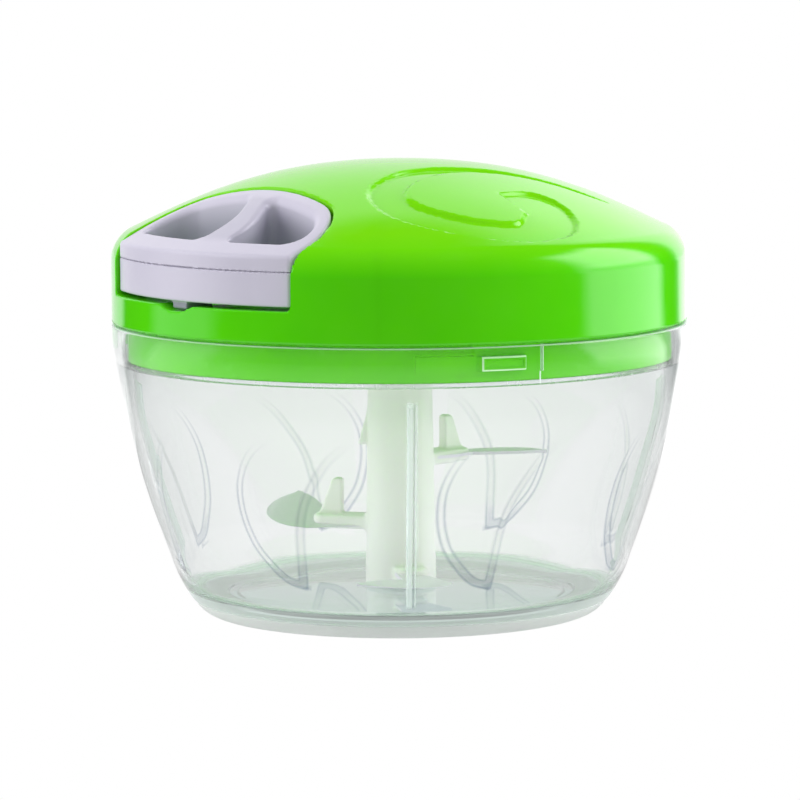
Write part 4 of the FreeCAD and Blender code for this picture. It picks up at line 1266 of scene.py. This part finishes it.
def make_lid_base():
    outer = lid_radius - lid_wall - plate_fit
    levels = (-0.03, 0.03, 0.25, 0.5, 0.7, 0.9)
    corners = [(drum_hole, lid_bottom, 0.3), (skirt_inner, lid_bottom, 0.8), (skirt_inner, skirt_bottom, 0.5),
               (skirt_outer, skirt_bottom, 0.5)]
    corners += [(skirt_outer, lug_low + level, 0) for level in levels]
    corners += [(skirt_outer, lug_low + lug_height - level, 0) for level in reversed(levels)]
    corners += [(skirt_outer, lid_bottom, 0.3), (outer, lid_bottom, 0.3), (outer, plate_top, 0.3),
                (drum_hole, plate_top, 0.3)]
    fine = []
    for start in lug_starts:
        for edge, inward in ((0, 0.55), (lug_span, -0.55)):
            fine += [(start + edge, 0.03, 0.06), (start + edge + inward, 0.36, 0.12)]
    profile = divided(rounded(corners), 5.0)
    base = revolved("lid_skirt", profile, columns_of(0.75, fine), base_shape, crease=40)
    finish_piece(base, "lid", "skirt", "green_plastic", "lid_base")


# Grip

divider_wave = np.polyfit([share for _, share in divider_line], [place for place, _ in divider_line], 4)


def divider_distance(x, y):
    """Distance from the S-shaped bar between the finger holes."""
    share = (-y - grip_inner) / (grip_outer - grip_inner)
    middle = np.polyval(divider_wave, np.clip(share, -0.05, 1.05))
    lean = np.polyval(np.polyder(divider_wave), np.clip(share, 0, 1)) / (grip_outer - grip_inner)
    return (np.abs(x - middle) - divider_width / 2) / np.sqrt(1 + lean ** 2)


def grip_holes(x, y):
    room = grip_outline(x, y, -grip_rim, grip_outer - grip_front_rim, hole_corner)
    return both(room, -divider_distance(x, y), hole_corner)


def grip_screw_places():
    sagitta = grip_screw_spread ** 2 / (2 * grip_inner_bend)
    outer_x = grip_half_width - grip_screw_inset
    places = []
    for side in (-1, 1):
        places.append((side * grip_screw_spread, -grip_inner - sagitta - grip_rim / 2))
        places.append((side * outer_x, -math.sqrt((grip_outer - grip_front_rim / 2) ** 2 - outer_x ** 2)))
    return places


def grip_solid(x, y, z):
    plan = grip_outline(x, y, 0.0, grip_outer, 0.6)
    top = dome_field(x, y, z, grip_inset, grip_sunk, edge=grip_edge)
    body = both(both(plan, top, grip_edge), grip_low - z, 0.5)
    soft = hole_edge + (hole_edge_inner - hole_edge) * smooth((y + 55) / 12)
    return both(body, -grip_holes(x, y), soft)


def shade_grip(thing):
    """Marks painted shade on the finger holes' walls, on the bar between them and on the grip's underside."""
    x, y, z = places_of(thing)
    depth = crown_height(np.hypot(x, y)) - z
    hole = smooth((0.6 - grip_holes(x, y)) / 0.5) * smooth((depth - 0.6) / 6) * hole_shade
    room = grip_outline(x, y, -grip_rim, grip_outer - grip_front_rim)
    bar = smooth((0.4 - divider_distance(x, y)) / 0.8) * smooth((1.0 - room) / 3) * smooth((z - split_z) / 2)
    under = smooth((grip_low - 0.1 - z) / 0.3)
    keep_tone(thing, "shade", np.maximum(np.maximum(hole, bar * bar_shade), under))


def grip_top_field(x, y, z):
    return both(grip_solid(x, y, z), split_z + split_groove / 2 - z, 0.05)


def grip_bottom_field(x, y, z):
    body = both(grip_solid(x, y, z), z - split_z + split_groove / 2, 0.05)
    front = -(grip_outer - anchor_setback)
    rib = both(between(x, -anchor_width / 2, anchor_width / 2), between(y, front, front + anchor_length))
    rib = both(rib, between(z, anchor_low, grip_low + 2), 0.4)
    body = either(body, rib, 0.5)
    bore = both(np.hypot(x, z - cord_z) - cord_radius - 0.2, front + anchor_length / 2 - y)
    body = without(body, bore)
    for px, py in grip_screw_places():
        seat = both(np.hypot(x - px, y - py) - grip_screw_bore, z - grip_low - grip_screw_sink)
        body = without(body, seat, 0.15)
    return body


def make_grip():
    shells = (
        ("grip_upper", grip_top_field, split_z, lid_top - 2, "grip_top"),
        ("grip_lower", grip_bottom_field, anchor_low, split_z, "grip_bottom"),
    )
    for name, field, bottom, top, node in shells:
        low = (-grip_half_width, -grip_outer, bottom)
        shell = netted(name, field, low, (grip_half_width, -grip_inner + 1, top), grip_steps)
        shade_grip(shell)
        finish_piece(shell, "handle", "lilac", "lilac_plastic", node)


# Post and blades

def arm_frame(x, y, z, number):
    """A point in the frame of one arm: outward, sideways and up."""
    x, y = turned(x, y, blade_angles[number])
    return x, y, z - blade_levels[number]


def arm_field(x, y, z, number):
    out, side, up = arm_frame(x, y, z, number)
    plan = both(out - arm_reaches[number], np.abs(side) - arm_width / 2, arm_corner)
    return both(np.maximum(plan, -out), np.abs(up) - arm_thickness / 2, arm_edge)


def fin_field(x, y, z, number):
    out, side, up = arm_frame(x, y, z, number)
    thick = arm_thickness / 2
    top = thick + fin_height
    run = fin_outer - (fin_inner + fin_top)
    rise = top + thick / 2
    slope = ((out - fin_outer) * rise + (up + thick / 2) * run) / math.hypot(run, rise)
    plate = both(both(fin_inner - out, slope, 0.8), up - top, 0.8)
    plate = np.maximum(plate, -up - thick / 2)
    return both(plate, np.abs(side) - fin_thickness / 2, web_edge)


def web_field(x, y, z):
    out, side = turned(x, y, web_angle)
    up = z - web_level
    slope = (out - post_top_radius) * web_height + (up - web_height) * web_reach
    slope = slope / math.hypot(web_height, web_reach)
    plate = both(both(slope, -up, 0.3), post_top_radius - web_root - out)
    return both(plate, np.abs(side) - fin_thickness / 2, web_edge)


def post_field(x, y, z):
    r = np.hypot(x, y)
    share = (z - post_bottom) / (post_top - post_bottom)
    taper = post_base_radius + (post_top_radius - post_base_radius) * np.clip(share, 0, 1)
    body = both(r - taper, between(z, post_bottom, post_top), post_edge)
    flats = [np.abs(turned(x, y, 30 + 60 * number)[0]) - socket_flats / 2 for number in range(3)]
    body = either(body, both(np.maximum.reduce(flats), between(z, post_top - 1, stub_top), 0.3))
    for number, fin in enumerate(blade_fins):
        arm = arm_field(x, y, z, number)
        if fin:
            arm = either(arm, fin_field(x, y, z, number), join_fillet)
        body = either(body, arm, join_fillet)
    body = either(body, web_field(x, y, z), 0.5)
    return without(body, both(r - pin_bore, z - pin_bore_top))


def make_post():
    reach = max(arm_reaches) + 1
    low = (-reach, -reach, post_bottom - 1)
    post = netted("post_milky", post_field, low, (reach, reach, stub_top), post_steps)
    finish_piece(post, "blades", "milky", "milky_plastic", "blade_post")


def blade_edge_line():
    """The convex cutting side, from the root to the tip."""
    belly = arc(blade_back, blade_belly, blade_nose, 24)
    return [(blade_root, arm_width / 2)] + belly + arc(blade_nose, blade_nose_arc, blade_tip, 12)[1:]


def blade_spine_line():
    """The back of the blade, from the root to the tip."""
    return [(blade_root, -arm_width / 2)] + arc(blade_heel, blade_spine, blade_tip, 20)


def blade_face(edge, spine, side):
    """Rows of points on one face of a blade, over the bevel and then to the spine."""
    wide = np.linalg.norm(spine - edge, axis=1)
    shares, sizes = [], []
    for part in blade_bevel_rows:
        inset = np.minimum(part * blade_bevel, wide * 0.8)
        shares.append(inset / wide)
        rise = np.minimum(inset / np.minimum(blade_bevel, wide), 1)
        sizes.append(blade_edge_share + (1 - blade_edge_share) * rise)
    bevel_end = shares[-1]
    for part, size in ((1 / 3, 1.0), (2 / 3, 1.0), (1.0, 0.9)):
        shares.append(bevel_end + (1 - bevel_end) * part)
        sizes.append(np.full(len(wide), size))
    return [np.column_stack([edge + (spine - edge) * share[:, None], side * size * blade_thickness / 2])
            for share, size in zip(shares, sizes)]


def make_blade(number):
    """A sickle blade with a ground bevel along its cutting side."""
    edge = along(blade_edge_line(), blade_stations)
    spine = along(blade_spine_line(), blade_stations)
    spine[-1] = edge[-1] + (spine[-2] - edge[-1]) * 0.05
    rows = blade_face(edge, spine, 1) + blade_face(edge, spine, -1)[::-1]
    quads = band(len(rows), blade_stations, wrap_rows=True, wrap_columns=False)
    faces = [[a, d, c, b] for a, b, c, d in quads]
    ends = np.arange(len(rows)) * blade_stations
    faces += [ends[::-1].tolist(), (ends + blade_stations - 1).tolist()]
    pitch = Matrix.Rotation(math.radians(-blade_pitches[number]), 3, "X")
    turn = Matrix.Rotation(math.radians(blade_angles[number]), 3, "Z")
    points = np.concatenate(rows) @ np.array(turn @ pitch).T + np.array((0, 0, blade_levels[number]))
    name = blade_names[number]
    blade = piece(name + "_ground", points, faces, crease=12)
    finish_piece(blade, "blades", "blade", "blade_steel", name)


# Cord

def cord(name, line, body, node, sides=10):
    """A length of the twisted cord."""
    made = tube(name, line, cord_radius * cord_share, sides, cord_strands)
    finish_piece(made, body, "nylon", "cord_nylon", node)
    return made


def make_winding():
    low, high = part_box("cord_winding")
    start_z = low.z / MM + cord_radius
    drop = (high.z / MM - cord_radius) - start_z
    turn = np.linspace(0, winding_turns, winding_turns * 40 + 1)
    angle = 2 * math.pi * turn
    level = start_z + drop * turn / winding_turns
    helix = np.stack([winding_radius * np.cos(angle), winding_radius * np.sin(angle), level], 1)
    cord("cord_wound", helix, "drum", "cord_winding")


def make_feed():
    """The cord from the winding to the eyelet, where it bends to the front."""
    eye_y = -(grip_inner - bay_play - bay_wall - cord_turn_in)
    swing = math.asin(winding_radius / abs(eye_y))
    way = np.array((math.sin(swing), -math.cos(swing)))
    total = math.sqrt(eye_y ** 2 - winding_radius ** 2)
    reach = math.sqrt((winding_radius + 2 * cord_radius) ** 2 - winding_radius ** 2)
    eye = np.array((0, eye_y))
    start = eye - way * (total - reach)
    bend = cord_bend * math.tan(swing / 2)
    first, second = eye - way * bend, eye - np.array((0, bend))
    line = [start + (first - start) * k / 12 for k in range(12)]
    line += list(bent(first, eye, second, 8))
    cord("cord_to_eyelet", [(x, y, cord_z) for x, y in line], "lid", "cord_feed")


def make_lead():
    """The cord from the eyelet to the grip."""
    low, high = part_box("cord_lead")
    y_start, y_end = high.y / MM, low.y / MM
    line = [(0, y, cord_z) for y in np.linspace(y_start, y_end, 160)]
    lead = cord("cord_pull", line, None, "cord_lead", 12)
    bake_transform(lead)


def make_knot():
    low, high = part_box("cord_knot")
    size = (high.x - low.x) / MM / 2
    turn = np.linspace(0, 2 * math.pi, 61)
    x = np.sin(turn) + 2 * np.sin(2 * turn)
    y = 0.9 * np.sin(3 * turn)
    z = np.cos(turn) - 2 * np.cos(2 * turn)
    knot = np.stack([x, y, z], 1) / 3.1 * (size * 0.62) + np.array((low + high) / 2) / MM
    tied = tube("cord_end_knot", knot, size * 0.36, 8)
    finish_piece(tied, "handle", "nylon", "cord_nylon", "cord_knot")


def finish_nodes():
    """New materials for the CAD parts that keep their shape."""
    looks = {
        "pivot_pin": "polished", "lid_screws": "screw", "cord_eyelet": "white", "drum_axle": "white",
        "axle_screws": "screw", "return_spring": "spring", "thrust_washer": "white", "cord_drum": "white",
        "spring_cover": "white", "spring_cover_screws": "screw", "grip_screws": "screw", "drive_hub": "white",
        "hub_screw": "screw",
    }
    for name, look in looks.items():
        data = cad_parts[name].data
        data.materials.clear()
        data.materials.append(materials[look])


# Studio

def make_camera():
    camera = placed("camera", bpy.data.cameras.new("camera"))
    a = math.radians(camera_azimuth)
    place = Vector((math.sin(a) * camera_distance, -math.cos(a) * camera_distance, camera_height)) * MM
    aim = Vector((0, 0, camera_aim * MM))
    look = (aim - place).to_track_quat("-Z", "Y").to_matrix().to_4x4()
    roll = Matrix.Rotation(math.radians(camera_roll), 4, "Z")
    camera.matrix_world = Matrix.Translation(place) @ look @ roll
    camera.data.lens = camera_lens
    camera.data.sensor_width = sensor_width
    camera.data.clip_start = 0.01
    camera.data.clip_end = 50.0
    bpy.context.scene.camera = camera


def softbox(name, azimuth, elevation, distance, width, height, radiance):
    """An area light that faces the object. Azimuth counts from the camera's side, to the right."""
    light = bpy.data.lights.new(name, "AREA")
    light.shape = "RECTANGLE"
    light.size = width
    light.size_y = height
    light.energy = radiance * math.pi * width * height
    thing = placed(name, light)
    a = math.radians(camera_azimuth + azimuth)
    e = math.radians(elevation)
    aim = Vector((0, 0, light_aim))
    away = Vector((math.sin(a) * math.cos(e), -math.cos(a) * math.cos(e), math.sin(e)))
    thing.location = aim + distance * away
    thing.rotation_euler = (aim - thing.location).to_track_quat("-Z", "Y").to_euler()
    thing.visible_glossy = False
    thing.visible_transmission = False


def studio_level(nodes, path, direction):
    """What a camera, clear plastic or gloss sees of the studio."""
    a = math.radians(camera_azimuth)
    right, behind, up = (
        nodes.add("VectorMath", {0: direction, 1: way}, operation="DOT_PRODUCT").outputs["Value"]
        for way in ((math.cos(a), math.sin(a), 0), (-math.sin(a), math.cos(a), 0), (0, 0, 1))
    )
    turn = nodes.math_of("ARCTAN2", right, behind)
    flat = nodes.length(right, behind)
    rise = nodes.math_of("ARCTAN2", up, flat)
    level = room_dark
    for low, high, bottom, top, soft, value in studio_panels:
        across = nodes.window(turn, *map(math.radians, (low, high, soft)))
        upward = nodes.window(rise, *map(math.radians, (bottom, top, soft)))
        level = nodes.plus(level, nodes.times(nodes.times(across, upward), value))
    ground = nodes.ranged(rise, 1, 0, math.radians(-18), math.radians(-10))
    level = nodes.plus(level, nodes.times(ground, floor_gloss))
    through = path["Is Transmission Ray"]
    gloss = nodes.times(path["Is Glossy Ray"], nodes.minus(1, through))
    aside = nodes.ranged(nodes.math_of("ABSOLUTE", turn), 0, 1, math.radians(100), math.radians(125))
    front = nodes.times(aside, nodes.ranged(flat, 0, 1, 0.15, 0.25))
    front = nodes.times(front, nodes.minus(1, ground))
    shade = nodes.minus(1, nodes.times(front, 1 - room_front))
    lit = nodes.math_of("GREATER_THAN", path["Diffuse Depth"], 0.5)
    shade = nodes.most(shade, nodes.times(lit, room_inner))
    level = nodes.most(nodes.times(level, gloss), nodes.times(shade, through))
    return nodes.most(path["Is Camera Ray"], level)


def make_floor():
    """A white floor that continues the studio in reflections and lights the object from below, with a painted
    shadow under the bowl that only rays through the clear plastic see.
    """
    mesh = bpy.data.meshes.new("floor")
    corners = [(x * floor_half, y * floor_half, 0) for x, y in ((-1, -1), (1, -1), (1, 1), (-1, 1))]
    mesh.from_pydata(corners, [], [(0, 1, 2, 3)])
    floor = placed("floor", mesh)
    floor.location.z = -floor_drop
    material = bpy.data.materials.new("floor")
    material.use_nodes = True
    nodes = Nodes(material.node_tree)
    path = nodes.add("LightPath").outputs
    place = nodes.add("TexCoord").outputs["Object"]
    from_lid = nodes.add("VectorMath", {0: place, 1: (0, 0, lid_bottom * MM)}, operation="SUBTRACT")
    seen = studio_level(nodes, path, from_lid.outputs["Vector"])
    level = nodes.most(seen, nodes.times(path["Is Diffuse Ray"], floor_glow))
    # Painted shadow: under the bowl the floor takes the floor_shade colour for rays through the clear plastic
    away = nodes.add("VectorMath", {0: place}, operation="LENGTH").outputs["Value"]
    under = nodes.ranged(away, 1, 0, foot_rib_radius * MM, (rim_radius + 10) * MM)
    colour = nodes.mixed(nodes.times(under, path["Is Transmission Ray"]), (1.0, 1.0, 1.0), floor_shade)
    glow = nodes.add("Emission", {"Color": colour, "Strength": level})
    nodes.add("OutputMaterial", {"Surface": glow.outputs[0]})
    mesh.materials.append(material)


def make_world():
    """A world that looks white, reflects the studio's panels and fills with a plain level."""
    world = bpy.data.worlds.new("studio")
    bpy.context.scene.world = world
    world.use_nodes = True
    nodes = Nodes(world.node_tree)
    path = nodes.add("LightPath").outputs
    seen = studio_level(nodes, path, nodes.add("TexCoord").outputs["Generated"])
    level = nodes.most(seen, nodes.times(path["Is Diffuse Ray"], room_level))
    light = nodes.add("Background", {"Strength": level})
    nodes.add("OutputWorld", {"Surface": light.outputs[0]})


make_camera()
make_world()
make_floor()
for lamp in softboxes:
    softbox(*lamp)
make_bowl()
make_foot()
make_seal()
make_lid()
make_lid_base()
make_grip()
make_post()
for number in range(len(blade_names)):
    make_blade(number)
make_winding()
make_feed()
make_lead()
make_knot()
finish_nodes()
bpy.context.scene.view_settings.view_transform = "Standard"
